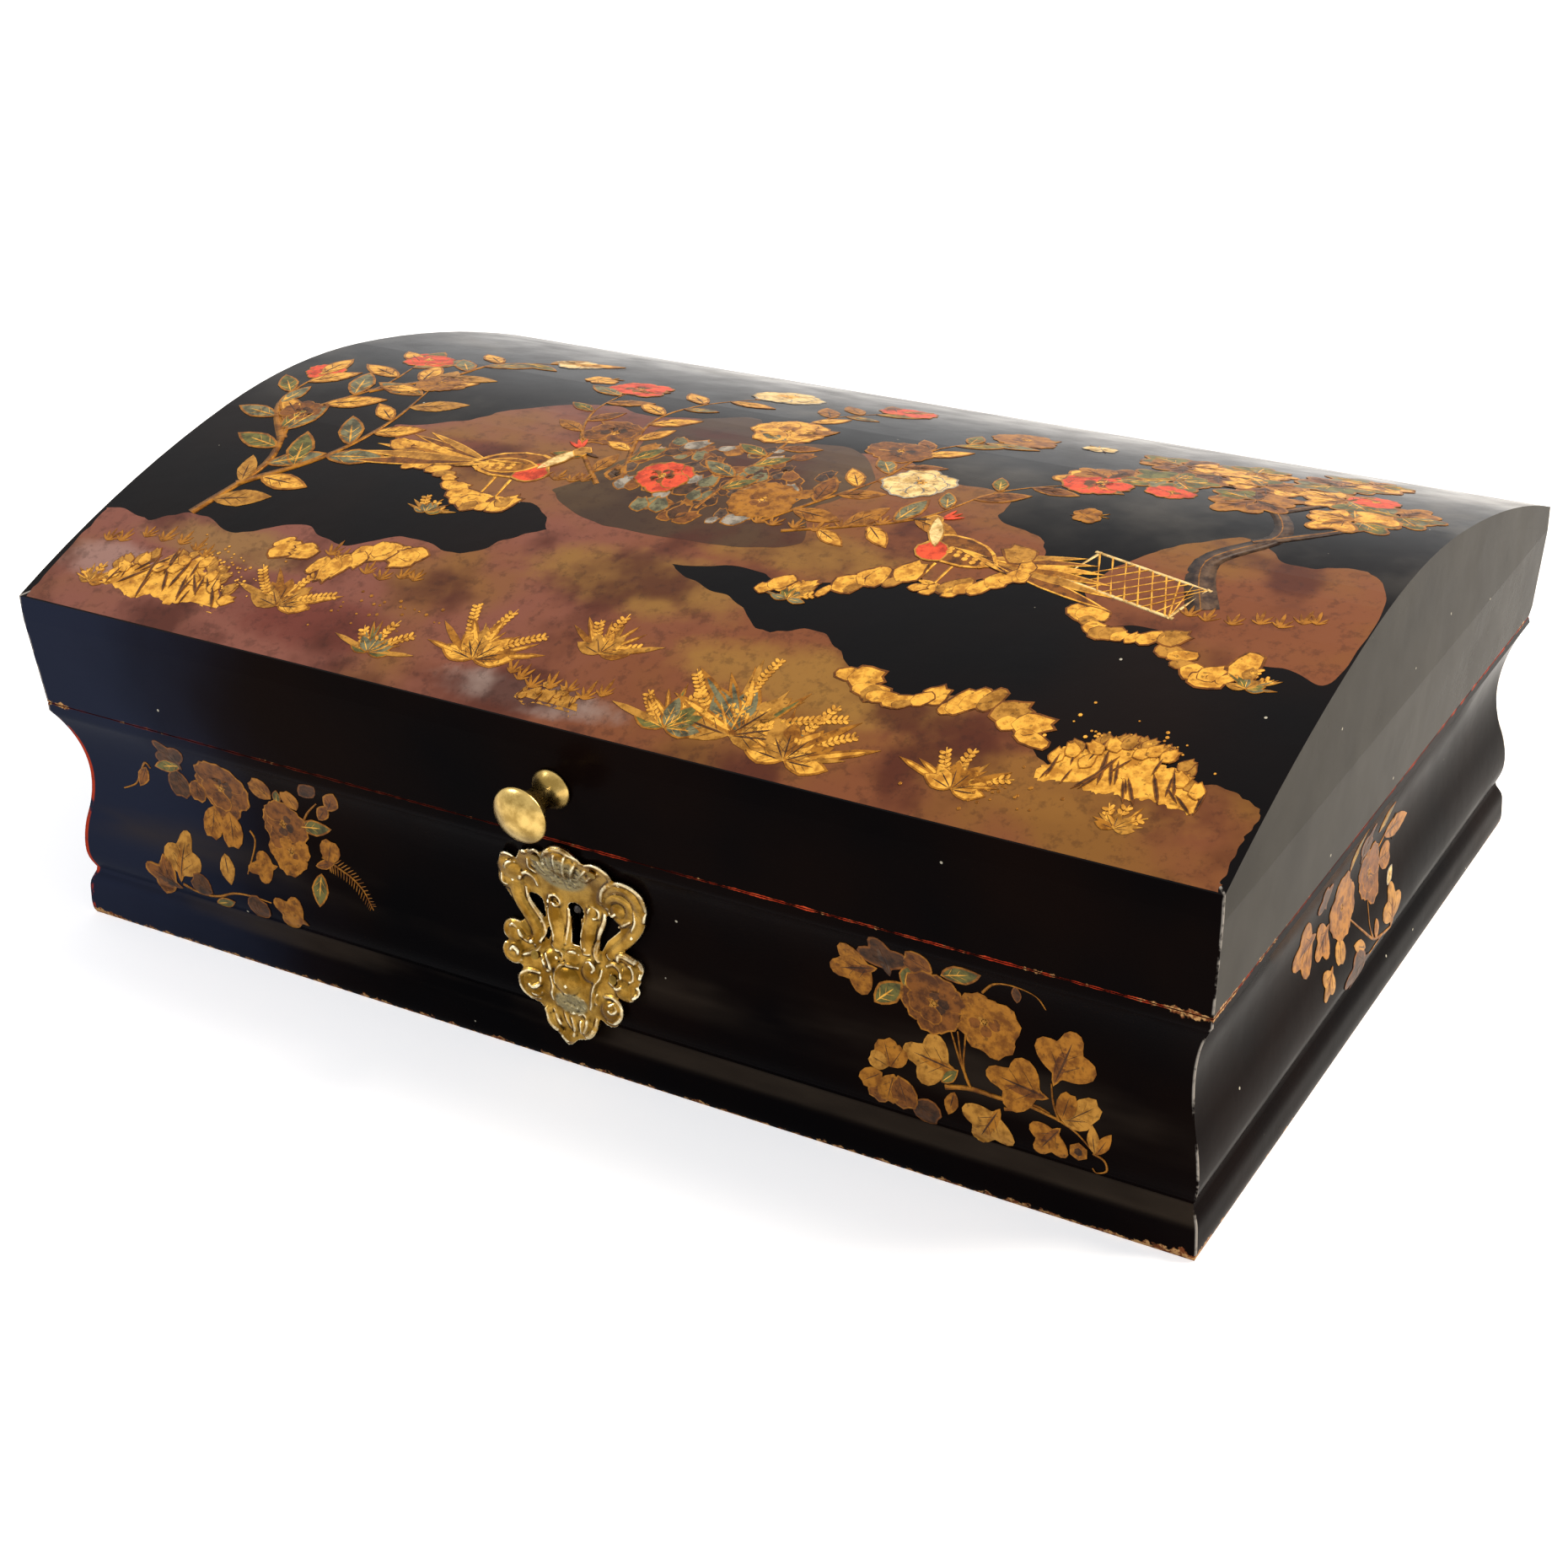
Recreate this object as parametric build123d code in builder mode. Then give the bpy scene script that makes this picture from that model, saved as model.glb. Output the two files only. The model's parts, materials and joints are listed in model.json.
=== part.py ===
from build123d import *
import os
from math import atan2, cos, radians, sin, sqrt, tan

# Lacquered wig box: a moulded base, an arched lid on two butt hinges, a box lock with its
# hasp, a cast keyhole plate and a turned knob.
# Frame: origin at the centre of the underside, +X to the right seen from the front,
# -Y to the front, +Z up. All sizes are in millimetres.

# Outline of the box at the seam, and the carcase
box_length = 330.0
box_depth = 227.0
base_height = 65.0
seam_gap = 0.3
wall_stock = 15.0

# Moulded face of the base: heights above the underside and setbacks in from the outline
plinth_height = 12.0
plinth_foot_setback = 1.5
plinth_top_setback = 2.2
quirk_rise = 0.8
quirk_width = 1.2
quirk_setback = 3.5
bulge_height = 19.5
bulge_setback = 2.1
waist_height = 43.0
waist_setback = 5.5
rim_band = 2.2

# Bottom board in its rabbet
board_thickness = 7.0
rabbet_width = 7.0
board_clearance = 0.2
long_side_nails = 4
short_side_nails = 3

# Forged nails with square countersunk heads: large ones for the board, small ones for the fittings
board_nail_head = 4.0
board_nail_shank = 1.8
board_nail_length = 17.0
fitting_nail_head = 3.2
fitting_nail_shank = 1.5
fitting_nail_length = 8.0
nail_tip = 0.4
nail_fit = 0.02
nail_sink = 0.05

# Arched lid
lid_band = 31.0
lid_flare = 1.6
panel_thickness = 6.0
crest_radius = 187.0
crest_angle = 9.0
eave_angle = 22.5

# Butt hinges
hinge_inset = 67.0
hinge_length = 38.0
leaf_reach = 11.5
leaf_thickness = 1.1
barrel_radius = 2.0
hinge_pin_radius = 0.9
pin_clearance = 0.05
knuckle_gap = 0.15
middle_knuckle = 13.0
barrel_clearance = 0.2
leaf_clearance = 0.1
lid_opening = 100.0
stop_clearance = 0.5
bevel_overrun = 1.0
hinge_nail_spacing = 13.0
leaf_nail_inset = 4.5

# Keyhole, measured down from the rim of the base
keyhole_drop = 21.3
keyhole_radius = 2.4
key_slot_width = 3.0
key_slot_drop = 9.4

# Box lock, let into the inner face of the front wall
lock_width = 54.0
lock_height = 36.0
lock_plate_thickness = 1.2
case_width = 46.0
case_drop = 33.0
case_inner_depth = 5.4
cap_thickness = 0.8
lock_clearance = 0.1
key_pin_radius = 1.1
key_pin_tip = 0.5
key_pin_proud = 1.0
lock_nail_inset = 2.0
lock_nail_low = 3.0
lock_nail_high = 6.0

# Bolt of the lock, its guide studs and its spring
bolt_travel = 7.0
bolt_thickness = 1.6
bolt_height = 10.5
bolt_length = 20.0
shoulder_gap = 0.3
nose_length = 4.0
nose_height = 3.6
nose_below_top = 0.3
talon_width = 7.0
talon_depth = 3.0
stud_width = 2.4
stud_collar_width = 4.0
stud_head_width = 3.8
stud_head_thickness = 0.7
stud_spacing = 7.0
first_stud_inset = 2.6
stud_below_top = 3.9
running_gap = 0.05
spring_strip = 0.4
spring_span = 18.0
spring_rise = 2.8

# Hasp on the lid
hasp_center = -9.5
hasp_thickness = 2.4
hasp_width = 4.6
hasp_bar = 1.1
hasp_foot = 1.8
hasp_side_clearance = 0.5
hasp_swing_clearance = 0.4
hasp_plate_length = 26.0
hasp_plate_width = 6.4
hasp_plate_thickness = 1.2
hasp_nail_spacing = 18.0
eye_clearance = 0.5

# Turned knob on the lid
knob_height = 14.7
knob_foot_radius = 5.0
knob_foot_thickness = 0.8
knob_neck_radius = 2.3
knob_neck_distance = 6.5
knob_head_distance = 12.5
knob_head_radius = 7.0
knob_head_edge = 1.3
knob_crown_height = 2.3
knob_crown_radius = 3.6
knob_shank_radius = 1.5
knob_shank_clearance = 0.1
nut_width = 9.0
nut_thickness = 2.6
spotface_depth = 0.6
shank_end = 1.0

# Cast keyhole plate and its pins
plate_thickness = 1.3
relief_height = 1.3
plate_pin_width = 1.1
plate_pin_head_radius = 1.2
plate_pin_sides = 8
plate_pin_head = 0.5
plate_pin_end_gap = 0.4

# Values worked out from the sizes above
half_length = box_length / 2
half_depth = box_depth / 2
hinge_offset = half_length - hinge_inset
keyhole_height = base_height - keyhole_drop
lid_foot = base_height + seam_gap
eave_height = lid_foot + lid_band
half_span = half_depth + lid_flare
half_lid_length = half_length + lid_flare
flank_radius = (half_span - crest_radius * sin(radians(crest_angle))) / (
    sin(radians(eave_angle)) - sin(radians(crest_angle))
)
crest_height = (
    eave_height
    + crest_radius * (1 - cos(radians(crest_angle)))
    + flank_radius * (cos(radians(crest_angle)) - cos(radians(eave_angle)))
)
flank_center_y = (crest_radius - flank_radius) * sin(radians(crest_angle))
flank_center_z = crest_height - crest_radius + (crest_radius - flank_radius) * cos(radians(crest_angle))
inner_face_y = -half_depth + wall_stock
axis_y = half_depth - barrel_radius
axis_z = base_height + seam_gap / 2
bevel_angle = (lid_opening + stop_clearance * 2) / 2

# Section of the arched lid


def arch_end_angle(depth):
    """Angle from the vertical at which the flank arc, depth below the surface, meets the edge plane."""
    reach = (half_span - flank_center_y) / (flank_radius - depth)
    return atan2(reach, sqrt(1 - reach * reach))


def flank_point(depth, angle, way):
    """Point on a flank arc of the lid; way is 1 for the back flank and -1 for the front one."""
    radius = flank_radius - depth
    return (way * (flank_center_y + radius * sin(angle)), flank_center_z + radius * cos(angle))


def arch_line(depth):
    """Three tangent arcs from the front edge over the crest to the back edge, depth below the surface."""
    join = radians(crest_angle)
    end = arch_end_angle(depth)
    middle = (join + end) / 2
    crest = (0, crest_height - depth)
    ThreePointArc(flank_point(depth, end, -1), flank_point(depth, middle, -1), flank_point(depth, join, -1))
    ThreePointArc(flank_point(depth, join, -1), crest, flank_point(depth, join, 1))
    ThreePointArc(flank_point(depth, join, 1), flank_point(depth, middle, 1), flank_point(depth, end, 1))


rail_top = flank_point(panel_thickness, arch_end_angle(panel_thickness), 1)[1]

# Everything under the arched panel, used to shape the tops of the rails and ends
with BuildPart() as arch_core:
    with BuildSketch(Plane.YZ) as core_section:
        with BuildLine():
            arch_line(panel_thickness)
            Polyline(
                (half_span, rail_top),
                (half_span, 0),
                (-half_span, 0),
                (-half_span, rail_top),
            )
        make_face()
    extrude(amount=half_lid_length, both=True)

# Walls and mitres shared by the base and the lid


def side_plane(angle, span):
    """Section plane of one side: local x runs inward from the outline, local y runs up."""
    inward = Vector(0, 1, 0).rotate(Axis.Z, angle)
    along = Vector(1, 0, 0).rotate(Axis.Z, angle)
    return Plane(origin=inward * -span, x_dir=inward, z_dir=along)


def mitre_ends(angle, run, span):
    """Cuts both ends of a wall on the upright 45 degree planes through the corners of the outline."""
    inward = Vector(0, 1, 0).rotate(Axis.Z, angle)
    along = Vector(1, 0, 0).rotate(Axis.Z, angle)
    for way in (-1, 1):
        corner = along * (way * run) - inward * span
        split(bisect_by=Plane(origin=corner, z_dir=along * way + inward), keep=Keep.BOTTOM)


def moulded_section(quirk=True, mode=Mode.ADD):
    """Base wall: plinth, quirk, ovolo bulge, ogee to the waist, cavetto and a narrow band at the rim."""
    plinth_top = (plinth_top_setback, plinth_height)
    quirk_low = (quirk_setback, plinth_height + quirk_rise)
    quirk_high = (quirk_setback, plinth_height + quirk_rise + quirk_width)
    bulge = (bulge_setback, bulge_height)
    waist = (waist_setback, waist_height)
    turn = ((bulge_setback + waist_setback) / 2, (bulge_height + waist_height) / 2)
    rim = (0, base_height - rim_band)
    with BuildLine() as outline:
        Line((plinth_foot_setback, 0), plinth_top)
        if quirk:
            Polyline(plinth_top, quirk_low, quirk_high)
            TangentArc(bulge, quirk_high, tangent=(0, -1))
        else:
            Line(plinth_top, bulge)
        TangentArc(bulge, turn, tangent=(0, 1))
        TangentArc(waist, turn, tangent=(0, -1))
        TangentArc(waist, rim, tangent=(0, 1))
        Polyline(
            rim,
            (0, base_height),
            (wall_stock, base_height),
            (wall_stock, board_thickness),
            (wall_stock - rabbet_width, board_thickness),
            (wall_stock - rabbet_width, 0),
            (plinth_foot_setback, 0),
        )
    make_face(outline.edges(), mode=mode)


def lid_section():
    """Lid wall: the outer face leans out to the foot of the arched panel, then stands upright."""
    with BuildLine() as outline:
        Polyline(
            (0, lid_foot),
            (-lid_flare, rail_top),
            (-lid_flare, crest_height),
            (wall_stock, crest_height),
            (wall_stock, lid_foot),
            close=True,
        )
    make_face(outline.edges())


def back_bevel(way):
    """Wedge behind the hinge axis: way -1 bevels the base, 1 the lid, so that they meet as the stop."""
    reach = barrel_radius + lid_flare + bevel_overrun
    with BuildPart() as wedge:
        with BuildSketch(Plane.YZ):
            with BuildLine():
                Polyline(
                    (axis_y, axis_z),
                    (axis_y + reach, axis_z),
                    (axis_y + reach, axis_z + way * reach * tan(radians(bevel_angle))),
                    close=True,
                )
            make_face()
        extrude(amount=half_lid_length + bevel_overrun, both=True)
    return wedge.part


def hinge_pockets(way):
    """Recesses for both hinges: way -1 in the rim of the base, 1 in the rim of the lid."""
    rim = base_height if way < 0 else lid_foot
    with BuildPart() as pockets:
        with Locations((-hinge_offset, axis_y, axis_z), (hinge_offset, axis_y, axis_z)):
            Cylinder(
                barrel_radius + barrel_clearance,
                hinge_length + leaf_clearance * 2,
                rotation=(0, 90, 0),
            )
        with Locations(
            (-hinge_offset, axis_y - leaf_reach / 2, rim + way * leaf_thickness / 2),
            (hinge_offset, axis_y - leaf_reach / 2, rim + way * leaf_thickness / 2),
        ):
            Box(
                hinge_length + leaf_clearance * 2,
                leaf_reach + leaf_clearance * 2,
                leaf_thickness,
            )
    return pockets.part


def hinge_nail_points(rim):
    """Nail positions of both hinges on the rim at the given height."""
    return [
        Vector(side * hinge_offset + step * hinge_nail_spacing, axis_y - leaf_reach + leaf_nail_inset, rim)
        for side in (-1, 1)
        for step in (-1, 0, 1)
    ]


def nail_profile(head, shank, length, hole):
    """Side view of a forged nail, or of its hole: a bevelled head over a shank that tapers to the tip."""
    fit = nail_fit if hole else 0
    top = 0 if hole else nail_sink
    neck = shank / 2 + fit
    tip = nail_tip / 2 + fit
    with BuildLine() as outline:
        Polyline(
            (top - head / 2, -top),
            (head / 2 - top, -top),
            (neck, neck - head / 2),
            (tip, -length - fit),
            (-tip, -length - fit),
            (-neck, neck - head / 2),
            close=True,
        )
    make_face(outline.edges())


def forged_nails(points, out, head, shank, length, hole):
    """Square nails, or their holes, with their heads at the points and facing out."""
    with BuildPart() as nail:
        with BuildSketch(Plane.XZ):
            nail_profile(head, shank, length, hole)
        extrude(amount=head, both=True)
        with BuildSketch(Plane.YZ):
            nail_profile(head, shank, length, hole)
        extrude(amount=head, both=True, mode=Mode.INTERSECT)
    with BuildPart() as nails:
        with Locations(*[Plane(origin=point, x_dir=(1, 0, 0), z_dir=out) for point in points]):
            add(nail.part)
    return nails.part


def fitting_nails(points, out, hole):
    """The small nails of the hinges, the lock and the hasp, or their holes."""
    return forged_nails(points, out, fitting_nail_head, fitting_nail_shank, fitting_nail_length, hole)


def keyhole_shape(mode=Mode.ADD):
    """Round hole for the key's shank with the slot for its bit below."""
    with Locations((0, keyhole_height)):
        Circle(keyhole_radius, mode=mode)
    with Locations((0, keyhole_height - key_slot_drop / 2)):
        Rectangle(key_slot_width, key_slot_drop, mode=mode)


# Places inside the lock, measured from the inner face of the front wall
plate_front_y = inner_face_y - lock_plate_thickness
cap_back_y = plate_front_y - case_inner_depth
cap_front_y = cap_back_y - cap_thickness
bolt_y = plate_front_y - case_inner_depth / 2
selvedge_under = base_height - lock_plate_thickness
lock_bottom = base_height - lock_height
case_bottom = base_height - case_drop
bolt_top = selvedge_under - spring_rise
bolt_shoulder = hasp_center + hasp_thickness / 2 + bolt_travel + shoulder_gap
nose_top = bolt_top - nose_below_top
nose_bottom = nose_top - nose_height
eye_top = nose_top + eye_clearance
eye_bottom = nose_bottom - eye_clearance
hasp_bottom = eye_bottom - hasp_foot
first_stud = bolt_shoulder + first_stud_inset
stud_points = [(first_stud + step * stud_spacing, bolt_top - stud_below_top) for step in (0, 1)]
front_plane = Plane.XZ.offset(-inner_face_y)
lock_nail_points = [
    Vector(way * (lock_width / 2 - lock_nail_inset), inner_face_y, height)
    for way in (-1, 1)
    for height in (lock_bottom + lock_nail_low, base_height - lock_nail_high)
]
hasp_nail_points = [
    Vector(hasp_center + way * hasp_nail_spacing / 2, bolt_y, lid_foot) for way in (-1, 1)
]
upward = Vector(0, 0, 1)
downward = Vector(0, 0, -1)
backward = Vector(0, 1, 0)


def lock_pocket():
    """Space cut in the front wall for the lock: the plate, the top plate and the deeper case."""
    gap = lock_clearance
    with BuildPart() as pocket:
        with Locations((0, inner_face_y - lock_plate_thickness / 2, base_height - lock_height / 2)):
            Box(lock_width + gap * 2, lock_plate_thickness, lock_height + gap * 2)
        with Locations((0, (inner_face_y + cap_front_y) / 2, selvedge_under + lock_plate_thickness / 2)):
            Box(lock_width + gap * 2, inner_face_y - cap_front_y + gap * 2, lock_plate_thickness)
        with Locations((0, (inner_face_y + cap_front_y) / 2, (case_bottom + base_height) / 2)):
            Box(case_width + gap * 2, inner_face_y - cap_front_y + gap * 2, case_drop + gap * 2)
    return pocket.part


# Keyhole plate in front view. Everything is placed by its rise above the keyhole, apart from the
# foot, which is placed by its height above the underside.
crest_lobes = [(-0.4, 15.5, 5.0), (-8.6, 14.1, 4.0), (7.4, 13.9, 4.0), (-15.4, 12.5, 3.0)]
side_lobes = [
    (-15.6, -12.9, 5.0),
    (16.6, -13.3, 4.8),
    (-12.8, -21.9, 4.4),
    (13.8, -23.1, 4.4),
]
foot_lobes = [(-7.0, 16.2, 3.6), (7.2, 15.4, 3.8), (-2.6, 10.6, 3.4), (3.6, 10.2, 3.0)]
right_edge = [(12.0, 12.3), (7.6, 2.3), (7.4, -6.7), (15.0, -11.7), (14.0, -23.7)]
foot_edge = [(6.0, 11.0), (-6.0, 11.0)]
left_edge = [(-14.0, -23.7), (-15.0, -11.7), (-7.2, -6.7), (-7.4, 2.3), (-13.0, 13.3)]
outer_scrolls = [
    [(-15.6, 12.7), (-14.2, 5.7), (-11.2, -0.1)],
    [(-11.2, -0.1), (-10.4, -5.9), (-14.8, -10.1)],
    [(9.0, 10.9), (18.2, 9.1), (19.2, 1.7)],
    [(19.2, 1.7), (15.8, -3.9), (11.2, -9.7)],
]
inner_scrolls = [
    [(-4.8, 9.3), (-6.0, -1.5), (-5.0, -12.3)],
    [(5.0, 9.1), (6.2, -1.7), (5.4, -12.7)],
    [(-17.6, -9.7), (-19.0, -14.7), (-14.6, -16.7)],
    [(18.2, -10.1), (19.8, -14.9), (15.2, -17.1)],
]
foot_scrolls = [
    [(-6.6, 17.9), (-5.6, 12.1), (-2.0, 9.5)],
    [(6.8, 17.3), (6.2, 11.9), (2.8, 9.3)],
]
outer_scroll_width = 4.2
inner_scroll_width = 3.2
raised_width = 2.2
boss_radius = 4.2
boss_rise = -18.1
plate_pins = [(-8.0, 14.7), (8.0, 13.9), (-11.5, -14.2), (11.5, -14.7)]


def from_keyhole(points):
    """The points, raised from the keyhole to their heights above the underside."""
    return [(x, keyhole_height + rise) for x, rise in points]


def scroll_bands(arcs, width):
    """Round-ended bands of the given width along arcs of three points."""
    for arc in arcs:
        with BuildLine(mode=Mode.PRIVATE) as line:
            ThreePointArc(*arc)
        SlotArc(arc=line.wire(), height=width)


def front_cover(thickness):
    """The front wall with its quirk bridged, thickened on all sides: its face lies over the wall's."""
    with BuildPart() as cover:
        with BuildSketch(side_plane(0, half_depth)):
            moulded_section(quirk=False)
            if thickness > 0:
                offset(amount=thickness, kind=Kind.ARC)
        extrude(amount=lock_width / 2, both=True)
    return cover.part


relief_plane = front_plane.offset(wall_stock / 2)
pin_end_plane = Plane.XZ.offset(plate_pin_end_gap - cap_front_y)
raised_scrolls = [from_keyhole(arc) for arc in inner_scrolls] + foot_scrolls

with BuildPart() as scrollwork:
    with BuildSketch(relief_plane):
        scroll_bands(raised_scrolls, raised_width)
        with Locations(*from_keyhole([(0, boss_rise)])):
            Circle(boss_radius)
    extrude(amount=wall_stock)
    add(front_cover(plate_thickness + relief_height), mode=Mode.INTERSECT)

with BuildPart() as pin_holes:
    with BuildSketch(pin_end_plane):
        with Locations(*from_keyhole(plate_pins)):
            Rectangle(plate_pin_width + 2 * nail_fit, plate_pin_width + 2 * nail_fit)
    extrude(amount=wall_stock)

with BuildPart() as escutcheon:
    with BuildSketch(pin_end_plane):
        with BuildLine():
            Polyline(*from_keyhole(right_edge), *foot_edge, *from_keyhole(left_edge), close=True)
        make_face()
        for x, rise, radius in crest_lobes + side_lobes:
            with Locations((x, keyhole_height + rise)):
                Circle(radius)
        for x, height, radius in foot_lobes:
            with Locations((x, height)):
                Circle(radius)
        scroll_bands([from_keyhole(arc) for arc in outer_scrolls], outer_scroll_width)
        scroll_bands(raised_scrolls, inner_scroll_width)
    extrude(amount=wall_stock)
    add(front_cover(plate_thickness), mode=Mode.INTERSECT)
    add(scrollwork.part)
    add(front_cover(0), mode=Mode.SUBTRACT)
    with BuildSketch(front_plane):
        keyhole_shape()
    extrude(amount=wall_stock * 2, mode=Mode.SUBTRACT)
    add(pin_holes.part, mode=Mode.SUBTRACT)

with BuildPart() as escutcheon_pins:
    with BuildSketch(relief_plane):
        with Locations(*from_keyhole(plate_pins)):
            RegularPolygon(plate_pin_head_radius, plate_pin_sides)
    extrude(amount=wall_stock)
    add(front_cover(plate_thickness + plate_pin_head), mode=Mode.INTERSECT)
    add(front_cover(plate_thickness), mode=Mode.SUBTRACT)
    with BuildSketch(pin_end_plane):
        with Locations(*from_keyhole(plate_pins)):
            Rectangle(plate_pin_width, plate_pin_width)
    extrude(until=Until.NEXT)

# Nails of the bottom board


def board_nail_points():
    """Nail positions along the middle of the rabbet, all round the board."""
    across = half_depth - wall_stock + rabbet_width / 2
    beside = half_length - wall_stock + rabbet_width / 2
    long_step = 2 * (half_length - wall_stock) / long_side_nails
    short_step = 2 * (half_depth - wall_stock) / short_side_nails
    points = []
    for way in (-1, 1):
        for count in range(long_side_nails):
            points.append((long_step * (count + 0.5 - long_side_nails / 2), way * across, 0))
        for count in range(short_side_nails):
            points.append((way * beside, short_step * (count + 0.5 - short_side_nails / 2), 0))
    return points


def board_nails(hole):
    """The large nails that hold the board, or their holes."""
    return forged_nails(
        board_nail_points(), downward, board_nail_head, board_nail_shank, board_nail_length, hole
    )


nail_holes = board_nails(hole=True)

# Base

with BuildPart() as bottom_board:
    with BuildSketch():
        Rectangle(
            box_length - 2 * (wall_stock - rabbet_width + board_clearance),
            box_depth - 2 * (wall_stock - rabbet_width + board_clearance),
        )
    extrude(amount=board_thickness)
    add(nail_holes, mode=Mode.SUBTRACT)

with BuildPart() as base_front_wall:
    with BuildSketch(side_plane(0, half_depth)):
        moulded_section()
    extrude(amount=half_length, both=True)
    mitre_ends(0, half_length, half_depth)
    add(lock_pocket(), mode=Mode.SUBTRACT)
    add(fitting_nails(lock_nail_points, backward, hole=True), mode=Mode.SUBTRACT)
    with BuildSketch(front_plane):
        keyhole_shape()
    extrude(amount=wall_stock, mode=Mode.SUBTRACT)
    add(pin_holes.part, mode=Mode.SUBTRACT)
    add(nail_holes, mode=Mode.SUBTRACT)

with BuildPart() as base_back_wall:
    with BuildSketch(side_plane(180, half_depth)):
        moulded_section()
    extrude(amount=half_length, both=True)
    mitre_ends(180, half_length, half_depth)
    add(back_bevel(-1), mode=Mode.SUBTRACT)
    add(hinge_pockets(-1), mode=Mode.SUBTRACT)
    add(fitting_nails(hinge_nail_points(base_height), upward, hole=True), mode=Mode.SUBTRACT)
    add(nail_holes, mode=Mode.SUBTRACT)

with BuildPart() as base_right_wall:
    with BuildSketch(side_plane(90, half_length)):
        moulded_section()
    extrude(amount=half_depth, both=True)
    mitre_ends(90, half_depth, half_length)
    add(back_bevel(-1), mode=Mode.SUBTRACT)
    add(nail_holes, mode=Mode.SUBTRACT)

with BuildPart() as base_left_wall:
    with BuildSketch(side_plane(-90, half_length)):
        moulded_section()
    extrude(amount=half_depth, both=True)
    mitre_ends(-90, half_depth, half_length)
    add(back_bevel(-1), mode=Mode.SUBTRACT)
    add(nail_holes, mode=Mode.SUBTRACT)

with BuildPart() as bottom_nails:
    add(board_nails(hole=False))

# Lid

knob_lean = atan2(lid_flare, rail_top - lid_foot)
knob_face_y = -half_depth - knob_height * tan(knob_lean)
knob_origin = Vector(0, knob_face_y, lid_foot + knob_height)
knob_out = Vector(0, -cos(knob_lean), -sin(knob_lean))
knob_plane = Plane(origin=knob_origin, x_dir=(1, 0, 0), z_dir=knob_out)
knob_section = Plane(origin=knob_origin, x_dir=(1, 0, 0), z_dir=Vector(1, 0, 0).cross(knob_out))
nut_seat = (wall_stock + knob_height * tan(knob_lean)) * cos(knob_lean) - spotface_depth

with BuildPart() as lid_front_rail:
    with BuildSketch(side_plane(0, half_depth)):
        lid_section()
    extrude(amount=half_lid_length, both=True)
    mitre_ends(0, half_length, half_depth)
    add(arch_core.part, mode=Mode.INTERSECT)
    with BuildSketch(knob_plane.offset(-nut_seat)):
        Circle(nut_width)
    extrude(amount=-wall_stock, mode=Mode.SUBTRACT)
    with BuildSketch(knob_plane.offset(-nut_seat)):
        Circle(knob_shank_radius + knob_shank_clearance)
    extrude(amount=nut_seat * 2, mode=Mode.SUBTRACT)
    with BuildSketch(Plane.XY.offset(lid_foot)):
        with Locations((hasp_center, bolt_y)):
            Rectangle(hasp_plate_length + 2 * lock_clearance, hasp_plate_width + 2 * lock_clearance)
    extrude(amount=hasp_plate_thickness, mode=Mode.SUBTRACT)
    add(fitting_nails(hasp_nail_points, downward, hole=True), mode=Mode.SUBTRACT)

with BuildPart() as lid_back_rail:
    with BuildSketch(side_plane(180, half_depth)):
        lid_section()
    extrude(amount=half_lid_length, both=True)
    mitre_ends(180, half_length, half_depth)
    add(arch_core.part, mode=Mode.INTERSECT)
    add(back_bevel(1), mode=Mode.SUBTRACT)
    add(hinge_pockets(1), mode=Mode.SUBTRACT)
    add(fitting_nails(hinge_nail_points(lid_foot), downward, hole=True), mode=Mode.SUBTRACT)

with BuildPart() as lid_right_end:
    with BuildSketch(side_plane(90, half_length)):
        lid_section()
    extrude(amount=half_span, both=True)
    mitre_ends(90, half_depth, half_length)
    add(arch_core.part, mode=Mode.INTERSECT)
    add(back_bevel(1), mode=Mode.SUBTRACT)

with BuildPart() as lid_left_end:
    with BuildSketch(side_plane(-90, half_length)):
        lid_section()
    extrude(amount=half_span, both=True)
    mitre_ends(-90, half_depth, half_length)
    add(arch_core.part, mode=Mode.INTERSECT)
    add(back_bevel(1), mode=Mode.SUBTRACT)

with BuildPart() as lid_dome_panel:
    with BuildSketch(Plane.YZ):
        with BuildLine():
            arch_line(0)
            Line((half_span, eave_height), (half_span, rail_top))
            arch_line(panel_thickness)
            Line((-half_span, rail_top), (-half_span, eave_height))
        make_face()
    extrude(amount=half_lid_length, both=True)

# Knob and its nut

with BuildPart() as lid_knob:
    with BuildSketch(knob_section):
        with BuildLine():
            Polyline(
                (0, 0),
                (knob_foot_radius, 0),
                (knob_foot_radius, knob_foot_thickness),
                (knob_neck_radius, knob_foot_thickness),
                (knob_neck_radius, knob_neck_distance),
                (knob_head_radius, knob_head_distance),
                (knob_head_radius, knob_head_distance + knob_head_edge),
                (knob_crown_radius, knob_head_distance + knob_head_edge + knob_crown_height),
                (0, knob_head_distance + knob_head_edge + knob_crown_height),
                close=True,
            )
        make_face()
    revolve(axis=Axis(knob_origin, knob_out))
    with BuildSketch(knob_plane):
        Circle(knob_shank_radius)
    extrude(amount=-(nut_seat + nut_thickness + shank_end))

with BuildPart() as knob_nut:
    with BuildSketch(knob_plane.offset(-nut_seat)):
        Rectangle(nut_width, nut_width)
        Circle(knob_shank_radius + pin_clearance, mode=Mode.SUBTRACT)
    extrude(amount=-nut_thickness)

# Lock

with BuildPart() as stud_rivets:
    with BuildSketch(front_plane):
        with Locations(*stud_points):
            Rectangle(stud_width, stud_width)
        with Locations((0, keyhole_height)):
            Circle(key_pin_radius)
    extrude(amount=lock_plate_thickness)

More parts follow.
